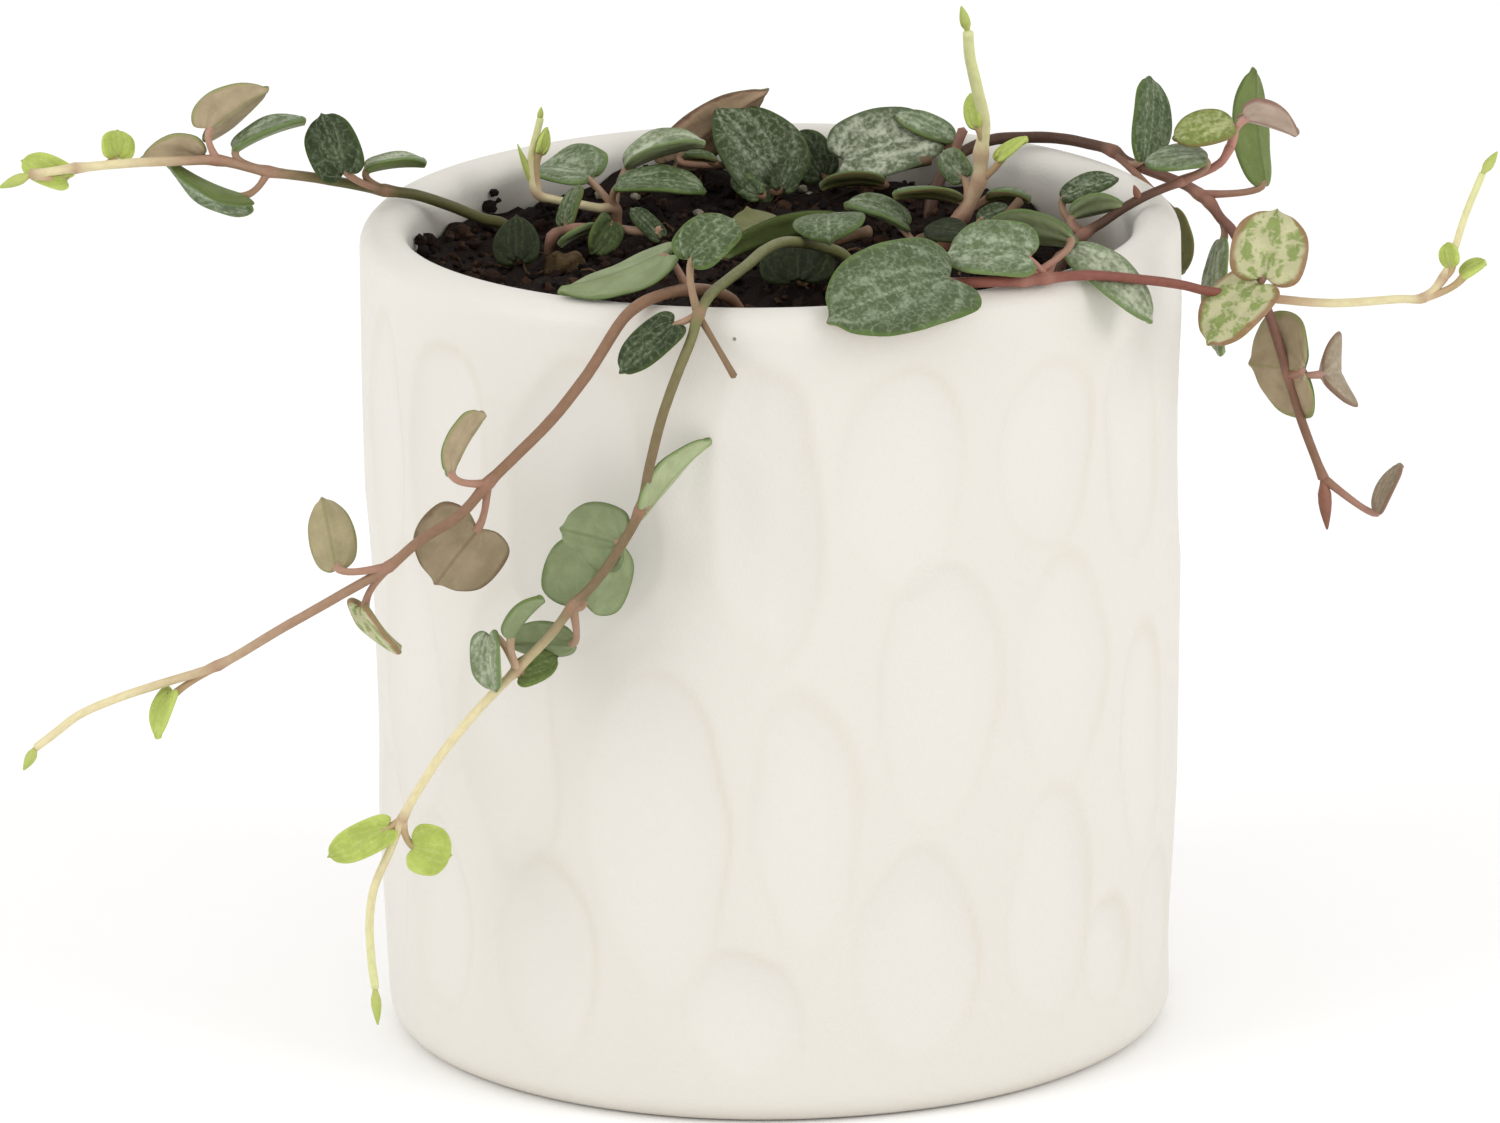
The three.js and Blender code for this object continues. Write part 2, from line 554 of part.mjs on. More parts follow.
    leaves: [
      leaf(2, [21.3, 13, 89.2], [14, 12.5, 90], [0.1, 0.2, 1], 5.2, 'oval', 18),
      leaf(2, [24, 13.5, 89.3], [28.7, 13, 89.2], [0, 0.2, 1], 5, 'oval', 18),
      leaf(2, [21.5, 18, 90.5], [19.5, 20.5, 92.8], [-0.2, -1, 0.2], 3.5, 'round', 16),
      leaf(3, [25.5, 11.5, 94.2], [28.5, 13, 96], [-0.5, -0.3, 0.8], 2.5, 'heart'),
      leaf(4, [23, 11.5, 97.5], [22.5, 14, 100.7], [-0.7, -0.7, 0.2], 2.5, 'oval'),
    ],
    buds: [[[22.1, 12, 108.3], [21.4, 12, 111.2], 0.7]],
  },
  {
    name: 'shoot_left',
    colour: 0x93a676,
    radii: [0.6, 0.4],
    stem: [
      [-17, 19.5, 78], [-17, 19.5, 85.8], [-17.2, 19, 87.2], [-18.8, 19, 87.2], [-21.6, 18.5, 87.9],
      [-23.8, 18, 88.5], [-25.7, 17.5, 89.3], [-26.3, 17.5, 93.1], [-25.6, 17.5, 96.4], [-25.2, 17.5, 97.9],
    ],
    leaves: [
      leaf(2, [-20, 20, 90.5], [-25.5, 25.5, 90.2], [0.1, -0.5, 0.9], 8.5, 'round', 20),
      leaf(2, [-17, 18, 90], [-7.5, 15.5, 90], [0, -0.2, 1], 7, 'oval', 14),
      leaf(2, [-16, 23, 91], [-7.5, 23.5, 93.5], [-0.1, 0, 1], 8.5, 'oval', 25),
      leaf(6, [-25.2, 17, 94.3], [-24.5, 18, 96.7], [0.5, -0.9, 0.1], 1.8, 'heart', 25),
    ],
    buds: [[[-25.9, 17.5, 89.6], [-27.8, 17.5, 95], 0.5]],
  },
  {
    name: 'crown_left',
    colour: 0x4b5b3f,
    radii: [0.6, 0.5],
    stem: [
      [-24, 11, 78], [-24, 11, 86], [-21.5, 11, 86.8], [-18, 10.5, 87], [-14.5, 9, 87], [-12, 8.5, 87.2],
    ],
    leaves: [
      leaf(1, [-22.5, 13.5, 87], [-21, 16, 90.4], [-0.8, -0.5, 0.3], 3.5, 'round'),
      leaf(2, [-19.2, 10, 87.3], [-23.2, 8.5, 85.9], [-0.3, 0.3, 0.9], 3.5, 'oval'),
      leaf(3, [-17.5, 9, 88], [-19.5, 6.5, 85.2], [0.6, -0.7, 0.4], 4, 'round', 18),
      leaf(5, [-12.2, 8, 86.6], [-15.2, 10, 89.2], [0.2, -0.8, 0.5], 2.5, 'round', 18),
    ],
  },
  {
    name: 'crown_edge',
    colour: 0x3f5038,
    radii: [0.55, 0.5],
    stem: [[-27, 5, 78], [-27, 5, 85.2], [-27.4, 4, 86.2]],
    leaves: [
      leaf(2, [-27.7, 1.5, 85.9], [-27.8, 4.5, 90], [-0.2, -0.9, 0.4], 5.4, 'heart'),
    ],
  },
  {
    name: 'crown_back_left',
    colour: 0x4f6248,
    radii: [0.65, 0.6],
    stem: [[-1, 30.5, 78], [-1, 30.5, 87], [-3, 31.5, 89]],
    leaves: [
      leaf(1, [0.8, 30.2, 87.4], [-5.8, 34, 94.9], [0.4, -0.8, 0.5], 11, 'heart', 18),
      leaf(2, [-10.3, 34.2, 89.2], [-0.2, 33.8, 96.9], [-0.3, 0.9, 0.2], 6.8, 'heart', 3),
      leaf(1, [1.5, 27.5, 87.2], [3, 31, 89.7], [-0.1, -0.9, 0.4], 3.5, 'round', 18),
      leaf(1, [-1.3, 26, 86.8], [-4, 28.7, 88.3], [-0.1, -1, 0.3], 2.6, 'round', 18),
      leaf(2, [-6.2, 28, 90.5], [-9.3, 27, 91.2], [0, -0.1, 1], 2.2, 'round'),
    ],
  },
  {
    name: 'crown_back',
    colour: 0x6a7a64,
    radii: [0.65, 0.6],
    stem: [[11, 30, 78], [11, 30, 86.8], [11.5, 31, 88.5]],
    leaves: [
      leaf(1, [6, 33.5, 87.2], [3, 36.5, 91.2], [0.2, -1, 0.2], 5.5, 'round', 20),
      leaf(2, [8.5, 30.5, 89.5], [19.5, 32.5, 91.7], [-0.2, -0.6, 0.7], 10, 'round', 14),
      leaf(2, [20.8, 31.5, 91.5], [14.5, 33, 94], [0.1, -0.6, 0.8], 3.5, 'oval'),
      leaf(1, [13, 27, 88], [6, 27.5, 87.5], [-0.1, 0.3, 1], 6, 'oval', 18),
    ],
    twigs: [[[12, 30.5, 88], [18, 28, 90], 0.6]],
  },
  {
    name: 'crown_front',
    colour: 0x6c8060,
    radii: [0.65, 0.55],
    stem: [[6, 2, 76], [6, 2, 85], [7.5, 1, 88], [8, 0, 90]],
    leaves: [
      leaf(2, [8.5, 0, 90], [-4.5, 0.5, 86.5], [-0.4, 0.6, 0.7], 6.5, 'oval', 14),
      leaf(3, [6.5, -7.5, 92.3], [6.4, -14, 91.4], [-0.1, -0.1, 1], 8, 'round', 5),
      leaf(1, [3, -6.5, 85], [3, -4, 88.2], [-0.1, -1, 0.3], 8.5, 'round'),
      leaf(1, [-0.5, 8, 87.5], [-2.5, 12, 88.2], [-0.1, 0.3, -1], 6.5, 'round', 6),
    ],
    twigs: [[[7.5, 1, 87.6], [10.8, -1.5, 89.2], 0.7]],
  },
  {
    name: 'crown_right',
    colour: 0x6f8264,
    radii: [0.65, 0.55],
    stem: [[16, 7, 76], [16, 7, 85.5], [20, 6, 87], [24.5, 6, 87.3]],
    leaves: [
      leaf(1, [14.8, 12, 86.5], [8.6, 12, 89], [0.2, -0.2, 1], 6, 'round', 24),
      leaf(3, [21.5, 4, 87.2], [17.2, 5.5, 87.5], [0, -0.2, 1], 6, 'oval', 3),
      leaf(3, [23, 7.5, 88], [26.3, 9, 89], [-0.5, -0.8, 0.4], 2.6, 'oval'),
    ],
    twigs: [[[24.5, 6, 87.3], [27.6, 9, 89.8], 0.55]],
  },
];

function plantSolid(plant) {
  const knots = new Set(plant.leaves.map((leaf) => leaf.node));
  let body = stemSolid(plant.stem, plant.radii, knots);
  for (const leaf of plant.leaves) {
    body = body.add(petioleSolid(vector(plant.stem[leaf.node]), leaf));
    body = body.add(leafSolid(leaf));
  }
  for (const bud of plant.buds ?? []) body = body.add(budSolid(bud));
  for (const twig of plant.twigs ?? []) body = body.add(twigSolid(twig));
  return body;
}

// Assembly

const group = new THREE.Group();

function addPart(name, geometry, colour, roughness) {
  const material = new THREE.MeshStandardMaterial({ color: colour, roughness, metalness: 0 });
  const mesh = new THREE.Mesh(geometry, material);
  mesh.name = name;
  group.add(mesh);
}

let soil = solid(soilGeometry());
const holeCorner = 1 / Math.cos(Math.PI / HOLE_SIDES);
for (const plant of PLANTS) {
  soil = soil.subtract(holePlug(plant.stem[0], (plant.radii[0] + HOLE_CLEARANCE) * holeCorner));
}

addPart('pot', potGeometry(), 0xece6e0, 0.6);
addPart('soil', geometryOf(soil), 0x2c1d18, 1);
for (const plant of PLANTS) addPart(plant.name, geometryOf(plantSolid(plant)), plant.colour, 0.5);

export default group;
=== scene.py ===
# Potted string of hearts in a dimpled white pot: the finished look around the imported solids.
# Lengths are in millimetres until a mesh is made. +Z is up and -Y is the front.

import math
import random

import bpy
from mathutils import Matrix, Vector
from mathutils.noise import noise


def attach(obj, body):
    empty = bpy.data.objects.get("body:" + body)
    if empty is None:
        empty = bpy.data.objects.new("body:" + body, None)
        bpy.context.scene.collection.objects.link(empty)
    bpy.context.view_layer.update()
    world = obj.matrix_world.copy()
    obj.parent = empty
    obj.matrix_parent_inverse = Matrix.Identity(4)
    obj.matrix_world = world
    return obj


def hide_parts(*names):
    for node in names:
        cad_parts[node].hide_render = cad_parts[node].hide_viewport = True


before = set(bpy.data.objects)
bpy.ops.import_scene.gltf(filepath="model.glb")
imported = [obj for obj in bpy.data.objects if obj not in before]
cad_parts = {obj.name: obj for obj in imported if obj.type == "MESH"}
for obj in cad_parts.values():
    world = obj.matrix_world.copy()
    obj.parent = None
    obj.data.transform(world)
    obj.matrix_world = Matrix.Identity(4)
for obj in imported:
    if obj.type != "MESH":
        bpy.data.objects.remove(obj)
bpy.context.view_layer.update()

MM = 0.001

# Camera, fitted to the pot's rim, base and sides

IMAGE_WIDTH = 1500
FOCAL_PIXELS = 12336.5
SENSOR = 36.0
CAMERA_DISTANCE = 1361.3
CAMERA_ELEVATION = 15.395
CAMERA_ROLL = -0.805
CAMERA_TARGET = Vector((-2.7, 0, 51.5))

# Studio: the lights are in metres and watts

LIGHT_TARGET = Vector((0, 0, 0.05))
LIGHT_POWER = 7.5
WORLD_LIGHT = 0.92
FLOOR_REACH = 3000
FLOOR_STEPS = 12

# Pot

POT_HEIGHT = 91.0
POT_TOP_RADIUS = 45.0
POT_BASE_RADIUS = 43.3
POT_BULGE = 0.6
POT_WALL = 5.3
POT_FLOOR = 5.0
POT_INNER_CHAMFER = 4.0
BASE_ROUNDING = 3.2
DIMPLE_DEPTH = 1.1
LIP_RADIUS = POT_WALL / 2
INNER_RADIUS = POT_TOP_RADIUS - POT_WALL
LIP_START = POT_HEIGHT - LIP_RADIUS
GLAZE_SWELL = 0.12
DIMPLE_LINE = 0.6
DIMPLE_BEND = 0.22
POT_SEGMENTS = 480
ROUNDING_ROWS = 8
WALL_ROWS = 140
LIP_ROWS = 14
INNER_ROWS = 18

# The pressed dimples of the front: (angle, height, half width in degrees, half height).
# Angle 0 is the front and grows to the right.
FRONT_DIMPLES = [
    (-70, 70, 7, 14), (-52, 70, 9, 14), (-28, 68, 12, 17), (-1, 68, 8, 16), (18, 72, 10, 12),
    (41, 73, 9.5, 11), (60, 70, 8, 12),
    (-63, 44, 9, 15), (-41, 42, 9, 17), (-17, 33, 10.5, 18), (4, 35, 8, 16), (24, 48, 9.5, 14.5),
    (44, 48, 9, 13), (64, 36, 7, 14),
    (-75, 22, 7, 13), (-58, 18, 8, 11), (-35, 16, 9, 12), (-5, 12, 8.5, 8.5), (20, 18, 10, 12),
    (42, 21, 8.5, 13.5), (55, 14, 6, 7), (71, 14, 7, 9),
]
BACK_START = 84
BACK_END = 276
BACK_COLUMNS = 9
BACK_ROWS = (68, 40, 13)

# Small marks on the glaze: (place, size, tone).
SPECKS = [
    ((-4.0, -44.7, 88.3), 0.3, (96, 72, 58)), ((-3.5, -45.2, 85.8), 0.25, (110, 88, 72)),
    ((-25.4, -36.8, 49), 0.4, (62, 46, 38)), ((-7.3, -43.9, 68.5), 0.3, (150, 154, 96)),
    ((-24.9, -37.2, 46.9), 0.25, (96, 72, 58)), ((14.2, -42.6, 73.2), 0.2, (150, 132, 112)),
]

# Soil

SOIL_CLEARANCE = 0.4
SOIL_LEVEL = 84.2
SOIL_SEGMENTS = 150
SOIL_RINGS = 70
CRUMBS = 1500
CRUMB_SIZES = (0.3, 0.35, 0.4, 0.5, 0.6, 0.8)
FIBRES = 60
FIBRE_RADIUS = 0.14
TUBER = (-22.7, 3, 84.8)
TUBER_RADIUS = 2.1
PALE_GRAINS = [
    (-19, 31, 85.8), (-15, 30.6, 85.6), (3.8, 32, 85.9), (4.6, 30, 85.6), (11, 28.6, 85.2), (-8, 24, 85.2),
]

# Crumbs that cling to the inner wall: (place, size).
STRAYS = [
    ((-30.6, 24.4, 87.8), 0.55), ((-31.1, 23.9, 86.3), 0.9), ((-30.2, 24.6, 86.9), 0.35),
    ((-38.4, 6.2, 86.9), 0.7), ((-38.1, 4.4, 86.2), 0.9), ((-38.5, 5.2, 87.6), 0.4),
    ((-37.6, 8.6, 86.4), 0.8), ((36.8, 13.6, 86.4), 0.35),
]

# Leaves and stalks

MIDRIB_THICKNESS = 1.2
SMALL_MIDRIB_THICKNESS = 0.9
SMALL_LEAF = 4.5
EDGE_THICKNESS = 0.7
LEAF_ARCH = 0.05
LEAF_FOLD = 12
CREASE = 0.6
EDGE_WAVE = 0.25
MIDRIB_WIDTH = 0.35
UPPER_GROOVE = 0.12
UNDER_RIB = 0.2
KNOT_LENGTH = 0.9
KNOT_SWELL = 0.3
PETIOLE_RADIUS = 0.48
BUD_FILL = 0.85
CURVE_STEPS = 5
LEAF_COLUMNS = 9
END_ROWS = 4
PETIOLE_STEPS = 10
STALK_SIDES = 10

# A bud swells and closes along its length: (share of the length, share of the radius).
BUD_PROFILE = (
    (0, 0.45), (0.12, 0.6), (0.3, 1), (0.48, 1.02), (0.65, 0.85), (0.82, 0.55), (0.94, 0.3), (1, 0.15),
)
TWIG_PROFILE = ((0, 1), (0.25, 0.9), (0.5, 0.85), (0.75, 0.9), (1, 1))

# Half of each leaf form, from the notch to the tip: (share of the half width, edge along, rib along).
HALVES = {
    "heart": [
        (0, 0, 0), (0.4, -0.16, 0.07), (0.88, -0.03, 0.2), (1, 0.28, 0.36), (0.8, 0.62, 0.6),
        (0.34, 0.9, 0.85), (0.1, 0.98, 0.96), (0, 1.04, 1.04),
    ],
    "round": [
        (0, 0, 0), (0.42, -0.12, 0.07), (0.88, 0, 0.2), (1, 0.34, 0.38), (0.9, 0.7, 0.64),
        (0.5, 0.94, 0.88), (0.12, 1.01, 0.98), (0, 1.06, 1.06),
    ],
    "oval": [
        (0, 0, 0), (0.4, 0, 0.08), (0.84, 0.16, 0.24), (1, 0.46, 0.46), (0.86, 0.76, 0.7),
        (0.44, 0.96, 0.9), (0.12, 1.02, 0.99), (0, 1.06, 1.06),
    ],
}

# Colours as seen on screen, from 0 to 255

GLAZE = (215, 211, 203)
# The glaze is mixed towards this slightly lighter tone the deeper a dimple is pressed.
DIMPLE_GLAZE = (217, 213, 206)
# Painted shade: the inner wall below the lip is darkened to this colour.
INNER_SHADE_GLAZE = (150, 143, 132)
BEIGE_LINE = (206, 195, 180)
DARK_SOIL = (38, 25, 19)
BROWNS = [(30, 20, 16), (40, 26, 20), (48, 31, 24), (56, 37, 28), (68, 46, 34), (88, 62, 44)]
FIBRE_BROWNS = ((128, 96, 68), (88, 62, 44), (150, 118, 84))
PALE_GRAIN = (202, 192, 172)
TUBER_SKIN = (108, 87, 56)
WHITE = (254, 254, 254)
BARKS = {
    "olive": (88, 86, 50), "sage": (112, 114, 72), "umber": (76, 53, 40), "dusk": (120, 84, 72),
    "drab": (118, 100, 72), "russet": (128, 76, 64), "chestnut": (134, 103, 80), "taupe": (162, 132, 108),
    "pink": (190, 132, 120), "cream": (220, 209, 166), "lime": (212, 216, 156),
}
KNOT = (160, 118, 100)
PETIOLE = (170, 122, 108)
BUDS = {
    "lime": ((186, 190, 112), (158, 184, 88)), "red": ((150, 104, 86), (118, 76, 62)),
}

# An upper side has a ground, the silver along its veins, a margin, and how much of it is silver.
UPPERS = {
    # The deep look is a dark green made darker still as painted shade, for leaves low in the crown.
    "deep": ((34, 41, 23), (70, 80, 52), (44, 54, 26), 0.2),
    "dark": ((50, 61, 37), (128, 140, 112), (64, 80, 40), 0.4),
    "moss": ((62, 75, 40), (104, 118, 76), (80, 98, 46), 0.25),
    "veined": ((74, 89, 56), (160, 172, 142), (86, 106, 54), 0.45),
    "marbled": ((82, 96, 65), (166, 178, 152), (90, 112, 58), 0.6),
    "silver": ((96, 111, 77), (176, 186, 162), (102, 124, 70), 0.75),
    "frosted": ((118, 131, 98), (192, 198, 176), (106, 126, 78), 0.9),
    "lace": ((90, 101, 76), (194, 200, 180), (72, 86, 54), 0.9),
    "bold": ((62, 75, 46), (170, 180, 156), (66, 80, 44), 0.55),
    "cream": ((196, 193, 154), (126, 146, 74), (144, 106, 80), 1.0),
    "mottled": ((116, 130, 64), (186, 190, 136), (126, 112, 68), 0.85),
    "green": ((95, 111, 61), (132, 148, 92), (104, 122, 60), 0.3),
    "rosy": ((154, 138, 116), (188, 174, 154), (126, 100, 84), 0.6),
    "lime": ((176, 192, 96), (198, 208, 128), (188, 200, 110), 0.2),
}
UNDERS = {
    "sage": ((138, 150, 112), (160, 172, 136), (98, 114, 70), 0.4),
    "pale": ((166, 176, 136), (186, 194, 158), (124, 142, 92), 0.4),
    "green": ((112, 127, 74), (136, 148, 102), (86, 100, 54), 0.4),
    "olive": ((108, 110, 70), (138, 142, 100), (108, 92, 62), 0.4),
    "mauve": ((178, 160, 132), (192, 178, 152), (138, 142, 88), 0.35),
    "brown": ((152, 136, 110), (168, 152, 126), (110, 86, 66), 0.4),
    "tan": ((168, 156, 122), (184, 172, 138), (126, 126, 76), 0.4),
    "rosy": ((192, 170, 156), (204, 186, 172), (132, 92, 84), 0.35),
    "dusky": ((172, 146, 120), (184, 160, 136), (94, 58, 50), 0.4),
    "lime": ((174, 190, 98), (196, 206, 126), (184, 198, 106), 0.2),
}


def leaf(node, base, tip, faces, width, look, fold=LEAF_FOLD, arch=LEAF_ARCH):
    """The stem point it grows from, its notch, its tip, where it faces, its width, its form and colours."""
    form, upper, under = look.split()
    return {
        "node": node, "base": Vector(base), "tip": Vector(tip), "faces": Vector(faces), "width": width,
        "form": form, "upper": UPPERS[upper], "under": UNDERS[under], "fold": fold, "arch": arch,
    }


PLANTS = []


def plant(name, radii, bark, stem, leaves, buds=(), twigs=(), young="lime"):
    """A rooted stem: its radii and barks from the soil to its end, its points, and all that grows on it."""
    PLANTS.append({
        "name": name, "radii": radii, "bark": [BARKS[word] for word in bark.split()],
        "stem": [Vector(point) for point in stem], "leaves": leaves, "buds": buds, "twigs": twigs,
        "young": BUDS[young],
    })


plant("vine_left", (0.65, 0.5), "olive olive olive olive olive taupe taupe cream cream", [
    (-29, 17, 79), (-29, 17, 85.5), (-32, 14, 87.5), (-35.3, 11, 89.7), (-39, 8.5, 91.6),
    (-42.3, 7, 92.5), (-46, 6.5, 93.4), (-50, 6, 94.3), (-55, 5, 95.3), (-60.5, 4, 96.9),
    (-63.8, 3.5, 97), (-69, 3, 97), (-76, 2, 96.7), (-80.8, 1, 96.3),
], [
    leaf(5, (-46.6, 4.5, 95.3), (-49, 7, 101), (-0.2, -0.9, 0.3), 6.4, "round dark mauve", 20),
    leaf(5, (-44.4, 6.5, 95.2), (-38, 7.5, 95.6), (0, 0.05, 1), 5, "oval frosted green", 20),
    leaf(8, (-58.8, 4.5, 98.1), (-51.2, 5.5, 101), (-0.3, -0.1, 0.9), 5.2, "oval silver sage", 18),
    leaf(8, (-57.8, 4, 92.4), (-66, 5.5, 96.2), (-0.4, -0.4, -0.8), 7.5, "heart silver green", 30),
    leaf(9, (-61.5, 4.5, 100.5), (-55, 6, 104.5), (-0.7, 0.7, 0.1), 6.5, "heart veined mauve", 20),
    leaf(9, (-62.5, 5.5, 97), (-69, 6.5, 96.5), (0.5, 0.5, 0.7), 6.5, "heart veined mauve", 28),
    leaf(12, (-71.5, 4, 97.5), (-71.5, 5.5, 100), (0.4, -0.9, 0.2), 4, "round lime lime"),
    leaf(13, (-77, 1.8, 95.6), (-81.8, 3.5, 97.2), (-0.1, -0.8, 0.5), 3.6, "round lime lime"),
], buds=[((-80.8, 1, 96.3), (-84.3, 0.5, 95), 0.75)])
plant("vine_front_left", (0.7, 0.45), "chestnut chestnut chestnut chestnut chestnut taupe cream cream", [
    (-3, -22, 75), (-3, -22, 83.5), (-4, -26, 87.5), (-6, -31, 90), (-9, -36, 91.6), (-12.3, -40.5, 92),
    (-14.2, -42.7, 91.6), (-15.8, -44.5, 90.6), (-19.6, -49, 85.8), (-23.5, -52, 81.6),
    (-28.7, -54, 76.9), (-30.3, -54, 75.3), (-33.2, -54, 72), (-37.6, -53, 68.9), (-41, -52, 65.8),
    (-46.4, -50, 62.1), (-52.9, -48, 57.9), (-59.7, -45, 53.2), (-65.9, -43, 50.7), (-70.6, -42, 48.9),
    (-75, -41, 46.7), (-77.6, -41, 44.7), (-79.6, -41, 43.2),
], [
    leaf(4, (-11.6, -36, 95), (-22.4, -36.5, 91.6), (0.2, 0.2, -1), 8.5, "heart veined sage", 3),
    leaf(11, (-34.5, -54, 76.5), (-31, -50.5, 82), (-0.9, 0.4, 0.3), 7, "oval silver mauve"),
    leaf(11, (-31.5, -50.5, 69.5), (-36, -51.5, 64), (-0.2, 1, -0.1), 10.5, "round veined brown"),
    leaf(14, (-46.5, -50, 65), (-48, -46, 71.5), (0.2, 0.8, -0.6), 5.5, "oval veined tan", 20),
    leaf(14, (-44, -49, 60.5), (-40.5, -46.5, 55), (-0.7, -0.4, -0.6), 6.5, "round cream tan", 8),
    leaf(17, (-65, -43, 49.5), (-66.5, -44, 45), (-0.8, -0.5, 0.4), 4, "heart lime lime"),
], buds=[((-79.6, -41, 43.2), (-81, -41, 40.7), 0.7)])
plant("vine_front", (0.65, 0.45), "sage sage sage sage drab drab cream cream lime", [
    (9.5, -3, 75), (9.5, -3, 84), (8, -5.5, 87.5), (5.5, -8.5, 89.3), (3.9, -11, 90.3), (1.5, -16, 91.7),
    (-0.5, -22, 92.4), (-2.5, -29, 92.5), (-4.8, -36.5, 92.6), (-6.6, -42, 92.4), (-7.8, -45.5, 91.2),
    (-8.6, -47.5, 89), (-10.1, -49, 85.7), (-11.9, -50, 80.9), (-13.2, -51, 76.1), (-14.3, -51, 71.3),
    (-17.1, -51, 66.3), (-19.3, -51, 63.3), (-21.6, -51, 60.9), (-24, -50, 57.5), (-27.6, -49, 53.5),
    (-32.5, -48, 48.1), (-36.6, -47, 42.6), (-40.3, -45, 35.9), (-41.7, -44, 32.2), (-43.6, -43, 27.5),
    (-44.2, -42, 23.4), (-44.1, -41.5, 19), (-43.8, -41, 15.7),
], [
    leaf(10, (-10.5, -47, 90.5), (-16, -48.5, 86), (-0.4, -0.8, 0.4), 4.5, "round dark mauve"),
    leaf(10, (-8.5, -42, 96.5), (-4, -38, 99.5), (-0.2, -0.7, 0.6), 6.5, "round veined sage", 18),
    leaf(15, (-13.5, -50.5, 72), (-7, -45.5, 77.5), (-0.8, 0.5, 0.4), 5.5, "heart silver pale"),
    leaf(15, (-16.5, -50, 67.5), (-22.5, -47.5, 68.5), (0.1, 1, -0.1), 7.5, "round silver sage"),
    leaf(18, (-20.5, -48.5, 60.5), (-18, -48, 67.5), (-0.3, 0.9, -0.2), 10.5, "round silver sage", 18),
    leaf(18, (-21.5, -48, 56), (-28.5, -45.5, 55.5), (0.4, 0.9, 0.2), 4.5, "oval silver sage", 16),
    leaf(20, (-28.5, -50.5, 57.5), (-25, -51.5, 62), (-0.6, 0.5, 0.6), 4.5, "oval green sage", 20),
    leaf(20, (-30.5, -48.5, 57), (-30, -50, 51.5), (-0.6, -0.8, -0.1), 5, "round frosted pale", 30),
    leaf(20, (-27.5, -48, 52.5), (-23.5, -46.5, 54), (0.3, -0.8, 0.5), 3.5, "round green green"),
    leaf(23, (-42, -45, 34.8), (-48.2, -44, 31.5), (0, -1, 0.3), 4, "round lime lime", 15),
    leaf(23, (-39.2, -45, 32.7), (-35.3, -44.7, 31.6), (0, -1, 0.3), 5.6, "round lime lime", 8),
], buds=[((-43.8, -41, 15.7), (-43.6, -41, 11.5), 0.65)],
    twigs=[((-7.8, -45.5, 91.2), (-4.1, -48.5, 85.2), 0.4)])
plant("vine_right", (0.65, 0.4), "umber umber russet russet russet russet russet cream cream cream lime", [
    (11, -20, 74), (11, -20, 82.5), (12, -25, 87), (14, -30, 89.8), (18.5, -34, 91.3), (22.3, -36.2, 92),
    (27, -35, 91.8), (29.4, -33.7, 91.7), (34, -31, 91.3), (39, -28.5, 90.2), (43.9, -26.5, 89),
    (46.8, -25.5, 88), (51.3, -24, 87.1), (54.7, -22.5, 86.2), (60.6, -21, 85.3), (67.9, -20, 85.4),
    (70.5, -20, 85.5), (72.6, -20, 87.7), (73.6, -20, 90.2), (75, -20, 94.7), (76.8, -20, 99.2),
], [
    leaf(4, (19, -38.5, 93), (6.5, -45.5, 90.5), (0, -0.6, 0.8), 13, "round marbled mauve", 8),
    leaf(7, (27.5, -33.5, 94), (19, -32.5, 94), (-0.1, -0.5, 0.9), 9, "round silver mauve", 15),
    leaf(6, (32.5, -27, 94.5), (23.5, -22.5, 94), (0.3, 0.6, 0.7), 7.5, "oval veined sage", 8),
    leaf(7, (32, -26, 93), (40.5, -29, 86), (0.4, -0.5, 0.8), 6.5, "oval frosted pale", 3, arch=0.1),
    leaf(12, (53, -25.5, 89.5), (54.5, -23, 96), (0, -1, 0.3), 8.5, "round cream tan", 10),
    leaf(12, (52.5, -25.5, 88.5), (47, -28, 83), (-0.5, -0.7, 0.6), 8, "round cream tan", 10),
    leaf(17, (73.5, -20.5, 89), (73, -20, 91.5), (-0.5, -0.8, 0.2), 2.5, "oval lime lime"),
    leaf(16, (74.5, -20.5, 88), (77, -20, 89.5), (-0.3, -0.2, 0.9), 3, "oval lime lime"),
], buds=[((76.8, -20, 99.2), (78.4, -20, 101.6), 0.65)])
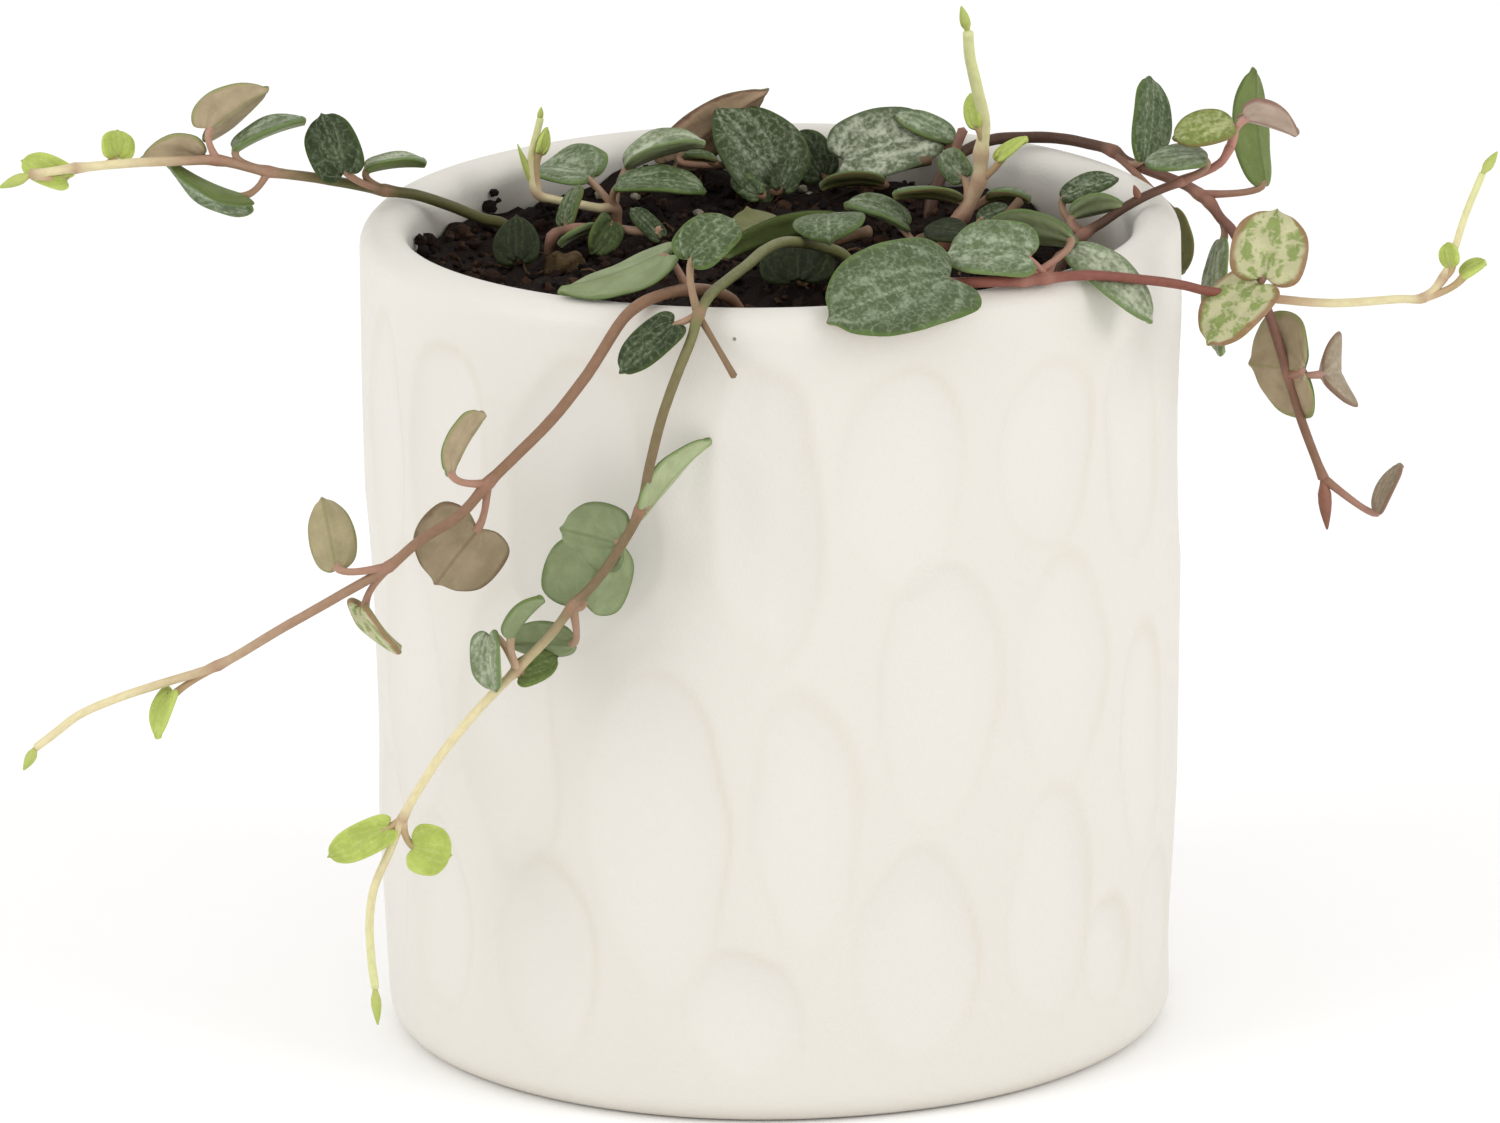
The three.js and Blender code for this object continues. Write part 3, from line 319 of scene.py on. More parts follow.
plant("vine_back_right", (0.7, 0.5), "umber umber dusk dusk chestnut", [
    (18, 22.5, 78), (18, 22.5, 86.3), (20.5, 25.5, 90.5), (24.7, 27.8, 92.2), (28.8, 29, 92.2),
    (32.2, 28.5, 92.2), (35.6, 26.5, 92), (38.4, 24, 91.7), (39.8, 22.5, 90.9), (46.3, 18.5, 89),
    (47.7, 17, 88.3), (48.8, 16, 87.6), (50, 14.5, 86.1), (51.2, 13, 85.1), (53.2, 12, 81),
    (55.1, 11.5, 76), (56.3, 11, 72.2), (57.2, 11, 69.1), (58.3, 11, 65.1), (59.6, 11, 61.2),
    (61.1, 11, 57.2),
], [
    leaf(7, (41.5, 20.5, 91.2), (42.5, 25, 99.5), (0.7, -0.7, 0), 7, "oval veined pale", 10),
    leaf(7, (44.7, 15.5, 87.2), (45.7, 14.5, 80.2), (1, 0.3, 0), 5.4, "oval green olive", 17),
    leaf(10, (54.6, 15.5, 89.6), (53.7, 19.5, 101.4), (-0.6, 0.7, -0.3), 5.5, "oval green green", 15),
    leaf(11, (50, 13.5, 84), (49.5, 9, 72.5), (-0.9, -0.4, 0), 6.5, "oval frosted pale", 4),
    leaf(17, (59, 9.5, 70), (53.5, 15, 69.5), (0.8, 0.6, 0.1), 12.5, "round veined mauve", 6),
    leaf(17, (61, 9.5, 69.5), (63, 15.5, 68), (0.9, -0.3, 0.3), 9.5, "oval rosy rosy", 24),
    leaf(20, (67, 9.5, 53.5), (69.5, 11, 58.5), (-0.9, -0.3, 0.3), 4, "oval rosy rosy", 6),
], buds=[((61.1, 11, 57.2), (61.5, 10.5, 51.4), 0.9)],
    twigs=[((20.3, 25, 90.3), (21.7, 25.5, 94), 0.6)], young="red")
plant("vine_rim", (0.6, 0.45), "umber umber umber dusk pink", [
    (31, -3, 72), (31, -3, 81), (32, -3, 86), (34.3, -2, 88.6), (36.4, -1, 89.7), (39, 0, 91.2),
    (41.6, 1, 92.3), (44.2, 2, 93.1), (45.2, 2.5, 93.4), (49.4, 3, 95.2), (50.6, 3.2, 97),
], [
    leaf(3, (32, 3, 91.5), (38, 3.5, 93.5), (-0.4, -0.6, 0.7), 3.5, "oval bold green", 20),
    leaf(3, (33, 1, 90.2), (38.5, 0, 91.5), (-0.1, 0.7, 0.7), 4.5, "oval silver sage", 17),
    leaf(8, (48, 2, 96), (41.5, 2.5, 95.5), (0.3, -0.2, 0.9), 6.5, "oval silver sage", 3),
    leaf(10, (51, 3, 99.5), (44.5, 1.5, 98.6), (-0.2, -0.7, 0.7), 5, "oval mottled brown"),
    leaf(10, (52.5, 3.5, 100.5), (58, 3.5, 98.5), (0.2, 0.6, 0.8), 7, "heart rosy rosy", 15),
], buds=[((40.5, 0.5, 91.8), (39.9, 0, 93.6), 0.5)], young="red")
plant("shoot_tall", (0.85, 0.6), "russet taupe cream lime lime", [
    (19.5, 12, 77), (19.5, 12, 85.5), (21.3, 12, 87.5), (23.2, 12, 91.4), (23.4, 12, 94.4),
    (23.8, 12, 98), (23, 12, 102.1), (22.3, 12, 105.5), (22.1, 12, 108.3),
], [
    leaf(2, (21.3, 13, 89.2), (14, 12.5, 90), (0.1, 0.2, 1), 5.2, "oval marbled olive", 18),
    leaf(2, (24, 13.5, 89.3), (28.7, 13, 89.2), (0, 0.2, 1), 5, "oval marbled olive", 18),
    leaf(2, (21.5, 18, 90.5), (19.5, 20.5, 92.8), (-0.2, -1, 0.2), 3.5, "round marbled green", 16),
    leaf(3, (25.5, 11.5, 94.2), (28.5, 13, 96), (-0.5, -0.3, 0.8), 2.5, "heart lime lime"),
    leaf(4, (23, 11.5, 97.5), (22.5, 14, 100.7), (-0.7, -0.7, 0.2), 2.5, "oval lime lime"),
], buds=[((22.1, 12, 108.3), (21.4, 12, 111.2), 0.7)])
plant("shoot_left", (0.6, 0.4), "russet cream cream lime", [
    (-17, 19.5, 78), (-17, 19.5, 85.8), (-17.2, 19, 87.2), (-18.8, 19, 87.2), (-21.6, 18.5, 87.9),
    (-23.8, 18, 88.5), (-25.7, 17.5, 89.3), (-26.3, 17.5, 93.1), (-25.6, 17.5, 96.4),
    (-25.2, 17.5, 97.9),
], [
    leaf(2, (-20, 20, 90.5), (-25.5, 25.5, 90.2), (0.1, -0.5, 0.9), 8.5, "round silver sage", 20),
    leaf(2, (-17, 18, 90), (-7.5, 15.5, 90), (0, -0.2, 1), 7, "oval veined green", 14),
    leaf(2, (-16, 23, 91), (-7.5, 23.5, 93.5), (-0.1, 0, 1), 8.5, "oval frosted pale", 25),
    leaf(6, (-25.2, 17, 94.3), (-24.5, 18, 96.7), (0.5, -0.9, 0.1), 1.8, "heart lime lime", 25),
],
    buds=[((-25.9, 17.5, 89.6), (-27.8, 17.5, 95), 0.5), ((-25.3, 17.5, 97.6), (-25.1, 17.5, 99.2), 0.42)])
plant("crown_left", (0.6, 0.5), "umber taupe", [
    (-24, 11, 78), (-24, 11, 86), (-21.5, 11, 86.8), (-18, 10.5, 87), (-14.5, 9, 87), (-12, 8.5, 87.2),
], [
    leaf(1, (-22.5, 13.5, 87), (-21, 16, 90.4), (-0.8, -0.5, 0.3), 3.5, "round veined olive"),
    leaf(2, (-19.2, 10, 87.3), (-23.2, 8.5, 85.9), (-0.3, 0.3, 0.9), 3.5, "oval silver sage"),
    leaf(3, (-17.5, 9, 88), (-19.5, 6.5, 85.2), (0.6, -0.7, 0.4), 4, "round moss olive", 18),
    leaf(5, (-12.2, 8, 86.6), (-15.2, 10, 89.2), (0.2, -0.8, 0.5), 2.5, "round dark olive", 18),
])
plant("crown_edge", (0.55, 0.5), "umber umber", [
    (-27, 5, 78), (-27, 5, 85.2), (-27.4, 4, 86.2),
], [
    leaf(2, (-27.7, 1.5, 85.9), (-27.8, 4.5, 90), (-0.2, -0.9, 0.4), 5.4, "heart deep olive"),
])
plant("crown_back_left", (0.65, 0.6), "umber olive", [
    (-1, 30.5, 78), (-1, 30.5, 87), (-3, 31.5, 89),
], [
    leaf(1, (0.8, 30.2, 87.4), (-5.8, 34, 94.9), (0.4, -0.8, 0.5), 11, "heart bold green", 18),
    leaf(2, (-10.3, 34.2, 89.2), (-0.2, 33.8, 96.9), (-0.3, 0.9, 0.2), 6.8, "heart veined dusky", 3),
    leaf(1, (1.5, 27.5, 87.2), (3, 31, 89.7), (-0.1, -0.9, 0.4), 3.5, "round dark olive", 18),
    leaf(1, (-1.3, 26, 86.8), (-4, 28.7, 88.3), (-0.1, -1, 0.3), 2.6, "round veined olive", 18),
    leaf(2, (-6.2, 28, 90.5), (-9.3, 27, 91.2), (0, -0.1, 1), 2.2, "round veined olive"),
])
plant("crown_back", (0.65, 0.6), "umber olive", [
    (11, 30, 78), (11, 30, 86.8), (11.5, 31, 88.5),
], [
    leaf(1, (6, 33.5, 87.2), (3, 36.5, 91.2), (0.2, -1, 0.2), 5.5, "round dark olive", 20),
    leaf(2, (8.5, 30.5, 89.5), (19.5, 32.5, 91.7), (-0.2, -0.6, 0.7), 10, "round lace sage", 14),
    leaf(2, (20.8, 31.5, 91.5), (14.5, 33, 94), (0.1, -0.6, 0.8), 3.5, "oval silver olive"),
    leaf(1, (13, 27, 88), (6, 27.5, 87.5), (-0.1, 0.3, 1), 6, "oval marbled olive", 18),
], twigs=[((12, 30.5, 88), (18, 28, 90), 0.6)])
plant("crown_front", (0.65, 0.55), "umber olive", [
    (6, 2, 76), (6, 2, 85), (7.5, 1, 88), (8, 0, 90),
], [
    leaf(2, (8.5, 0, 90), (-4.5, 0.5, 86.5), (-0.4, 0.6, 0.7), 6.5, "oval deep green", 14),
    leaf(3, (6.5, -7.5, 92.3), (6.4, -14, 91.4), (-0.1, -0.1, 1), 8, "round veined sage", 5),
    leaf(1, (3, -6.5, 85), (3, -4, 88.2), (-0.1, -1, 0.3), 8.5, "round deep olive"),
    leaf(1, (-0.5, 8, 87.5), (-2.5, 12, 88.2), (-0.1, 0.3, -1), 6.5, "round deep olive", 6),
], twigs=[((7.5, 1, 87.6), (10.8, -1.5, 89.2), 0.7)])
plant("crown_right", (0.65, 0.55), "umber olive", [
    (16, 7, 76), (16, 7, 85.5), (20, 6, 87), (24.5, 6, 87.3),
], [
    leaf(1, (14.8, 12, 86.5), (8.6, 12, 89), (0.2, -0.2, 1), 6, "round marbled sage", 24),
    leaf(3, (21.5, 4, 87.2), (17.2, 5.5, 87.5), (0, -0.2, 1), 6, "oval deep olive", 3),
    leaf(3, (23, 7.5, 88), (26.3, 9, 89), (-0.5, -0.8, 0.4), 2.6, "oval dark olive"),
], twigs=[((24.5, 6, 87.3), (27.6, 9, 89.8), 0.55)])


# Small sums

def lerp(a, b, share):
    return a + (b - a) * share


def blend(a, b, share):
    """Two colours mixed channel by channel."""
    return [lerp(p, q, share) for p, q in zip(a, b)]


def smooth(value, low, high):
    share = min(max((value - low) / (high - low), 0.0), 1.0)
    return share * share * (3 - 2 * share)


def linear(colour):
    """A screen colour from 0 to 255 as scene light from 0 to 1."""
    shares = [channel / 255 for channel in colour]
    return [share / 12.92 if share <= 0.04045 else ((share + 0.055) / 1.055) ** 2.4 for share in shares]


def along_list(colours, share):
    """The colour at a share of a list, mixed between the two entries next to it."""
    place = min(max(share, 0.0), 1.0) * (len(colours) - 1)
    i = min(int(place), len(colours) - 2)
    return blend(colours[i], colours[i + 1], place - i)


def around(radius, turn):
    """X and Y at a distance from the pot's axis. A turn of 0 is the front and grows to the right."""
    return radius * math.sin(turn), -radius * math.cos(turn)


def scatter(draw, radius):
    """X and Y of a random spot on a disc, as likely near its edge as near its middle."""
    away = radius * math.sqrt(draw.random())
    return around(away, math.tau * draw.random())


def curve_through(points):
    """A smooth curve through the points, with the same number of steps from each to the next."""
    ends = [2 * points[0] - points[1], *points, 2 * points[-1] - points[-2]]
    knots = [0.0]
    for a, b in zip(ends, ends[1:]):
        knots.append(knots[-1] + math.sqrt((b - a).length))
    curve = []
    for i in range(1, len(ends) - 2):
        p = ends[i - 1:i + 3]
        k = knots[i - 1:i + 3]
        for step in range(CURVE_STEPS):
            t = lerp(k[1], k[2], step / CURVE_STEPS)
            a = [p[n].lerp(p[n + 1], (t - k[n]) / (k[n + 1] - k[n])) for n in range(3)]
            b = [a[n].lerp(a[n + 1], (t - k[n]) / (k[n + 2] - k[n])) for n in range(2)]
            curve.append(b[0].lerp(b[1], (t - k[1]) / (k[2] - k[1])))
    curve.append(points[-1].copy())
    return curve


# Shapes

class Shape:
    """Points and faces in millimetres, with the values that the materials read at each point."""

    def __init__(self):
        self.points = []
        self.faces = []
        self.slots = []
        self.values = {"ground": [], "pattern": [], "margin": [], "place": [], "share": []}

    def point(self, spot, ground, pattern=(0, 0, 0), strength=0.0, margin=None, place=None, share=(0, 0, 0)):
        self.points.append(Vector(spot))
        self.values["ground"].append([*linear(ground), 1.0])
        self.values["pattern"].append([*linear(pattern), strength])
        self.values["margin"].append([*linear(margin or ground), 1.0])
        self.values["place"].append(list(place or spot))
        self.values["share"].append(list(share))
        return len(self.points) - 1

    def face(self, corners, slot=0):
        self.faces.append(tuple(corners))
        self.slots.append(slot)

    def close(self, rings, first, last, slot=0):
        """Faces along a stack of rings, and round the point that closes each end."""
        for a, b in zip(rings, rings[1:]):
            for k in range(len(a)):
                after = (k + 1) % len(a)
                self.face((a[k], a[after], b[after], b[k]), slot)
        for middle, ring in ((first, rings[0]), (last, rings[-1][::-1])):
            for k in range(len(ring)):
                self.face((middle, ring[(k + 1) % len(ring)], ring[k]), slot)

    def piece(self, name, materials):
        mesh = bpy.data.meshes.new(name)
        mesh.from_pydata([spot * MM for spot in self.points], [], self.faces)
        mesh.polygons.foreach_set("material_index", self.slots)
        mesh.polygons.foreach_set("use_smooth", [True] * len(self.faces))
        for key, rows in self.values.items():
            kind, field = ("FLOAT_COLOR", "color") if len(rows[0]) == 4 else ("FLOAT_VECTOR", "vector")
            attribute = mesh.attributes.new(key, kind, "POINT")
            attribute.data.foreach_set(field, [number for row in rows for number in row])
        for material in materials:
            mesh.materials.append(material)
        made = bpy.data.objects.new(name, mesh)
        bpy.context.scene.collection.objects.link(made)
        return made


def tube(shape, points, radii, tones, seed, slot=1, sides=STALK_SIDES):
    """A round stalk with one radius and one (ground, pattern, strength) for each point, and domed ends."""
    normal = Vector((0.3, 0.4, 0.87))
    reach = 0.0
    rings = []
    for i, spot in enumerate(points):
        tangent = (points[min(i + 1, len(points) - 1)] - points[max(i - 1, 0)]).normalized()
        side = tangent.cross(normal).normalized()
        normal = side.cross(tangent).normalized()
        if i:
            reach += (spot - points[i - 1]).length
        ring = []
        for k in range(sides):
            turn = math.tau * k / sides
            out = side * math.cos(turn) + normal * math.sin(turn)
            radius = radii[i] * (1 + 0.05 * noise(out * 0.8 + Vector((seed, reach * 0.5, 0))))
            place = (math.cos(turn) + seed, math.sin(turn), reach)
            ring.append(shape.point(spot + out * radius, *tones[i], place=place))
        rings.append(ring)
    domes = []
    for end, inner in ((0, 1), (-1, -2)):
        dome = points[end] + (points[end] - points[inner]).normalized() * radii[end] * 0.6
        domes.append(shape.point(dome, *tones[end], place=(seed, 0, 0)))
    shape.close(rings, *domes, slot)


# Leaves

CURVES = {form: curve_through([Vector(point) for point in half]) for form, half in HALVES.items()}


def leaf_frame(entry):
    """The directions along a leaf, out of its face and across it, and its length."""
    axis = entry["tip"] - entry["base"]
    length = axis.length
    axis.normalize()
    faces = entry["faces"]
    faces = (faces - axis * faces.dot(axis)).normalized()
    return axis, faces, axis.cross(faces), length


def blade(shape, entry, seed):
    """Two halves that fold up softly from the midrib, arched along it, with a round edge."""
    axis, faces, side, length = leaf_frame(entry)
    fold = math.radians(entry["fold"])
    middle = SMALL_MIDRIB_THICKNESS if entry["width"] < SMALL_LEAF else MIDRIB_THICKNESS
    curve = CURVES[entry["form"]]
    last = len(curve) - 1

    def place(row, column, hand, face):
        """A hand of 1 or -1 is a half of the blade. A face of 1 is its top, -1 its underside, 0 its edge."""
        half, edge_along, rib_along = curve[row]
        share = math.sin(math.pi / 2 * column / LEAF_COLUMNS)
        across = max(half, 0) * share * entry["width"] / 2
        along = lerp(rib_along, edge_along, share)
        soft = math.sqrt(across * across + CREASE ** 2) - CREASE
        wave = noise(Vector((hand * across * 0.3, along * length * 0.3, seed))) * EDGE_WAVE * share
        rise = soft * math.sin(fold) + entry["arch"] * length * 4 * along * (1 - along) + wave
        end = min(1, row / END_ROWS, (last - row) / END_ROWS)
        thick = lerp(middle, EDGE_THICKNESS, share) * math.sqrt(max(end * (1 - share ** 6), 0)) / 2
        rib = math.exp(-(across / MIDRIB_WIDTH) ** 2) * (UPPER_GROOVE if face > 0 else UNDER_RIB) * end
        lift = face * thick - rib
        spot = entry["base"] + axis * along * length + faces * (rise + lift * math.cos(fold))
        spot += side * hand * (across * math.cos(fold) - lift * math.sin(fold) * min(1, across))
        ground, pattern, margin, strength = entry["under" if face < 0 else "upper"]
        flat = (hand * across, along * length, seed)
        return shape.point(spot, ground, pattern, strength, margin, flat, (share * hand, along, face))

    notch = place(0, 0, 1, 0)
    tip = place(last, 0, 1, 0)
    edges = {hand: [place(row, LEAF_COLUMNS, hand, 0) for row in range(1, last)] for hand in (1, -1)}
    for face in (1, -1):
        ribs = [place(row, 0, 1, face) for row in range(1, last)]
        for hand in (1, -1):
            grid = [[notch] * (LEAF_COLUMNS + 1)]
            for row in range(1, last):
                inner = [place(row, column, hand, face) for column in range(1, LEAF_COLUMNS)]
                grid.append([ribs[row - 1], *inner, edges[hand][row - 1]])
            grid.append([tip] * (LEAF_COLUMNS + 1))
            for before, after in zip(grid, grid[1:]):
                for column in range(LEAF_COLUMNS):
                    corners = (*before[column:column + 2], *after[column:column + 2][::-1])
                    corners = list(dict.fromkeys(corners))
                    shape.face(corners[::-1] if face * hand < 0 else corners)


def petiole(shape, start, bark, entry, seed):
    """The petiole leaves the knot and curves into the notch of the blade from below."""
    axis, faces, _, _ = leaf_frame(entry)
    base = entry["base"]
    arrival = base - (axis + faces) * min(0.25 * (base - start).length, 1)
    leaving = start.lerp(arrival, 0.5)
    end = base + axis * 0.6
    points = []
    tones = []
    radii = []
    for i in range(PETIOLE_STEPS + 1):
        t = i / PETIOLE_STEPS
        a, b, c = start.lerp(leaving, t), leaving.lerp(arrival, t), arrival.lerp(end, t)
        points.append(a.lerp(b, t).lerp(b.lerp(c, t), t))
        skin = blend(blend(PETIOLE, bark, 0.45), entry["under"][0], 0.1 + 0.4 * t)
        tones.append((blend(bark, skin, smooth(t, 0, 0.35)), PETIOLE, 0.3))
        radii.append(PETIOLE_RADIUS * (1.1 - 0.3 * math.sin(math.pi * t)))
    tube(shape, points, radii, tones, seed)


# Stems

def stem(shape, entry, seed):
    """The stem tapers from its root to its end, swells at the knots and changes its colour on the way."""
    spine = curve_through(entry["stem"])
    knots = [entry["stem"][item["node"]] for item in entry["leaves"]]
    radii = []
    tones = []
    for i, spot in enumerate(spine):
        share = i / (len(spine) - 1)
        swell = math.exp(-(min((spot - knot).length for knot in knots) / KNOT_LENGTH) ** 2)
        radii.append(lerp(*entry["radii"], share) * (1 + KNOT_SWELL * swell))
        tones.append((along_list(entry["bark"], share), KNOT, 0.6 * swell))
    tube(shape, spine, radii, tones, seed)


def spindle(shape, start, end, radius, profile, colours, pattern, seed):
    """A bud or a twig: straight, and thick or thin along its length as its profile says."""
    start, end = Vector(start), Vector(end)
    points = [start.lerp(end, share) for share, _ in profile]
    tones = [(along_list(colours, share), *pattern) for share, _ in profile]
    tube(shape, points, [size * radius for _, size in profile], tones, seed)


def plant_piece(entry, number, materials):
    shape = Shape()
    stem(shape, entry, number)
    last = len(entry["stem"]) - 1
    for i, item in enumerate(entry["leaves"]):
        seed = number + i * 0.37
        bark = along_list(entry["bark"], item["node"] / last)
        petiole(shape, entry["stem"][item["node"]], bark, item, seed)
        blade(shape, item, seed)
    young = entry["young"]
    for start, end, radius in entry["buds"]:
        spindle(shape, start, end, radius * BUD_FILL, BUD_PROFILE, young, (young[0], 0.3), number)
    bark = along_list(entry["bark"], 0.5)
    for start, end, radius in entry["twigs"]:
        spindle(shape, start, end, radius, TWIG_PROFILE, (bark, bark), (KNOT, 0.2), number)
    return shape.piece(entry["name"] + "_fine", materials)


# Pot

def all_dimples():
    dimples = list(FRONT_DIMPLES)
    step = (BACK_END - BACK_START) / BACK_COLUMNS
    for column in range(BACK_COLUMNS):
        for row, height in enumerate(BACK_ROWS):
            angle = BACK_START + step * (column + 0.25 + 0.5 * (row % 2))
            sway = math.sin(column * 2.3 + row * 1.7)
            dimples.append((angle, height + 3 * sway, 0.5 * step - 1 + sway, 15 + 3 * sway))
    return dimples


def dimple_at(dimples, angle, height):
    """How deep the glaze is pressed in at an angle and a height, and how strong the line of a dimple is."""
    depth = 0
    line = 0
    bend = DIMPLE_BEND * noise(Vector((angle * 0.08, height * 0.08, 5)))
    faint = lerp(0.4, 1, smooth(noise(Vector((angle * 0.05, height * 0.05, 2))), -0.3, 0.3))
    for centre, middle, half_width, half_height in dimples:
        across = ((angle - centre + 540) % 360 - 180) / half_width
        along = (height - middle) / half_height
        away = math.sqrt(across * across + along * along) + bend
        if away > 1.5:
            continue
        edge = math.exp(-((away - 0.95) * half_width / DIMPLE_LINE) ** 2)
        line = max(line, faint * edge * lerp(0.35, 1, smooth(0.8 * across + 0.6 * along, -0.2, 0.9)))
        if away < 1:
            press = 0.6 * (1 - away ** 4) + 0.4 * (1 - smooth(away, 0.3, 1))
            depth = max(depth, DIMPLE_DEPTH * press * (1 + 0.25 * along))
    return depth, line


def outer_radius(height):
    share = height / POT_HEIGHT
    return lerp(POT_BASE_RADIUS, POT_TOP_RADIUS, share) + POT_BULGE * math.sin(math.pi * share)


def pot_profile():
    """(radius, height) from the base, up the outside, over the lip and down to the inner floor."""
    profile = []
    for i in range(ROUNDING_ROWS + 1):
        turn = i / ROUNDING_ROWS * math.pi / 2
        radius = outer_radius(BASE_ROUNDING) - BASE_ROUNDING * (1 - math.sin(turn))
        profile.append((radius, BASE_ROUNDING * (1 - math.cos(turn))))
    for row in range(1, WALL_ROWS + 1):
        height = lerp(BASE_ROUNDING, LIP_START, row / WALL_ROWS)
        profile.append((outer_radius(height), height))
    for i in range(1, LIP_ROWS + 1):
        turn = i / LIP_ROWS * math.pi
        radius = POT_TOP_RADIUS - LIP_RADIUS + LIP_RADIUS * math.cos(turn)
        profile.append((radius, LIP_START + LIP_RADIUS * math.sin(turn)))
    for row in range(1, INNER_ROWS + 1):
        height = lerp(LIP_START, POT_FLOOR + POT_INNER_CHAMFER, (row / INNER_ROWS) ** 2)
        profile.append((INNER_RADIUS, height))
    profile.append((INNER_RADIUS - POT_INNER_CHAMFER, POT_FLOOR))
    return profile


def pot_piece(material):
    shape = Shape()
    dimples = all_dimples()
    rings = []
    for radius, height in pot_profile():
        ring = []
        for k in range(POT_SEGMENTS):
            angle = 360 * k / POT_SEGMENTS
            outside = radius > INNER_RADIUS + LIP_RADIUS and 1 < height < LIP_START
            depth, line = dimple_at(dimples, angle, height) if outside else (0, 0)
            out = Vector((*around(1, math.radians(angle)), 0))
            swell = GLAZE_SWELL * noise(out * 2.2 + Vector((0, 0, height * 0.035)))
            spot = out * (radius - depth + swell) + Vector((0, 0, height))
            # Painted shade darkens the inner wall from just below the lip down to the soil.
            inner_shade = smooth(LIP_START - height, 0, 5) if radius <= INNER_RADIUS else 0
            tone = blend(blend(GLAZE, DIMPLE_GLAZE, depth / DIMPLE_DEPTH), INNER_SHADE_GLAZE, inner_shade)
            ring.append(shape.point(spot, tone, BEIGE_LINE, max(line, smooth(3 - height, 0, 3))))
        rings.append(ring)
    outer_floor = shape.point((0, 0, 0), GLAZE, BEIGE_LINE, 0.15)
    inner_floor = shape.point((0, 0, POT_FLOOR), GLAZE, BEIGE_LINE, 0.15)
    shape.close(rings, outer_floor, inner_floor)
    return shape.piece("pot_fine", [material])


# Soil

def soil_height(x, y):
    """The soil is heaped at the back and the left, and sinks towards the right wall."""
    back = 1.3 * smooth(y, 8, 34) + 2.3 * smooth(y, 30, 36) * smooth(11 - abs(x + 12), 0, 8)
    left = 1.2 * smooth(-x, 27, 38)
    right = 5 * smooth(x, 14, 36) * smooth(30 - y, 0, 22)
    front = 3 * smooth(4 - y, 0, 20) * smooth(20 - abs(x - 6), 0, 14)
    crumbs = 0.45 * math.sin(0.9 * x + 1.3) * math.sin(0.8 * y) + 0.3 * math.sin(1.7 * x - 1.1 * y)
    return SOIL_LEVEL + back + left - right - front + crumbs


def soil_ground(shape):
    """The soil's body: a fine crumbled top and plain sides under it."""
    rim = INNER_RADIUS - SOIL_CLEARANCE
    floor = POT_FLOOR + SOIL_CLEARANCE
    profile = [(rim - POT_INNER_CHAMFER, floor), (rim, floor + POT_INNER_CHAMFER), (rim, SOIL_LEVEL * 0.7)]
    profile += [(rim * ring / SOIL_RINGS, None) for ring in range(SOIL_RINGS, 0, -1)]
    rings = []
    for radius, height in profile:
        ring = []
        for k in range(SOIL_SEGMENTS):
            x, y = around(radius, math.tau * k / SOIL_SEGMENTS)
            z = height
            if height is None:
                coarse = noise(Vector((x * 0.45, y * 0.45, 3)))
                fine = noise(Vector((x * 1.3, y * 1.3, 7)))
                z = soil_height(x, y) + 0.5 * coarse + 0.4 * fine - 0.1
            ring.append(shape.point((x, y, z), DARK_SOIL))
        rings.append(ring)
    bottom = shape.point((0, 0, floor), DARK_SOIL)
    top = shape.point((0, 0, soil_height(0, 0)), DARK_SOIL)
    shape.close(rings, bottom, top)


def lump(shape, centre, size, tone, rough, seed, squash=0.8, rows=5, sides=7):
    """An irregular crumb, grain or tuber with a closed surface."""
    def skin(lean, turn):
        flat = math.sin(lean)
        out = Vector((flat * math.cos(turn), flat * math.sin(turn), math.cos(lean) * squash))
        reach = size * (1 + rough * noise(out * 1.6 + Vector((seed, seed * 0.7, 0))))
        return shape.point(Vector(centre) + out * reach, tone)

    rings = []
    for i in range(1, rows):
        rings.append([skin(math.pi - math.pi * i / rows, math.tau * k / sides) for k in range(sides)])
    shape.close(rings, skin(math.pi, 0), skin(0, 0))


def fibre(shape, draw, seed):
    """A fine root that lies on the soil in a slight curve."""
    x, y = scatter(draw, INNER_RADIUS - 5)
    heading = math.tau * draw.random()
    reach = 1.5 + 3 * draw.random()
    points = []
    for step in range(5):
        turn = heading + step * 0.25
        fx = x + math.cos(turn) * reach * step / 4
        fy = y + math.sin(turn) * reach * step / 4
        points.append(Vector((fx, fy, soil_height(fx, fy) + 0.35 + 0.3 * math.sin(step * 0.8 + seed))))
    tone = draw.choice(FIBRE_BROWNS)
    tube(shape, points, [FIBRE_RADIUS] * len(points), [(tone, tone, 0.3)] * len(points), seed, 0, 5)


def soil_piece(material):
    shape = Shape()
    draw = random.Random(11)
    soil_ground(shape)
    for i in range(CRUMBS):
        x, y = scatter(draw, INNER_RADIUS - 1.6)
        size = draw.choice(CRUMB_SIZES)
        lump(shape, (x, y, soil_height(x, y) + size * 0.2), size, draw.choice(BROWNS), 1.1, i * 0.31)
    for i, spot in enumerate(PALE_GRAINS):
        lump(shape, spot, 0.6, PALE_GRAIN, 0.5, 50 + i)
    for i, (spot, size) in enumerate(STRAYS):
        lump(shape, spot, size, BROWNS[i % 4], 0.8, 70 + i)
    lump(shape, TUBER, TUBER_RADIUS, TUBER_SKIN, 0.8, 4.2, 0.6, 16, 24)
    for i in range(FIBRES):
        fibre(shape, draw, i)
    return shape.piece("soil_fine", [material])


# Materials

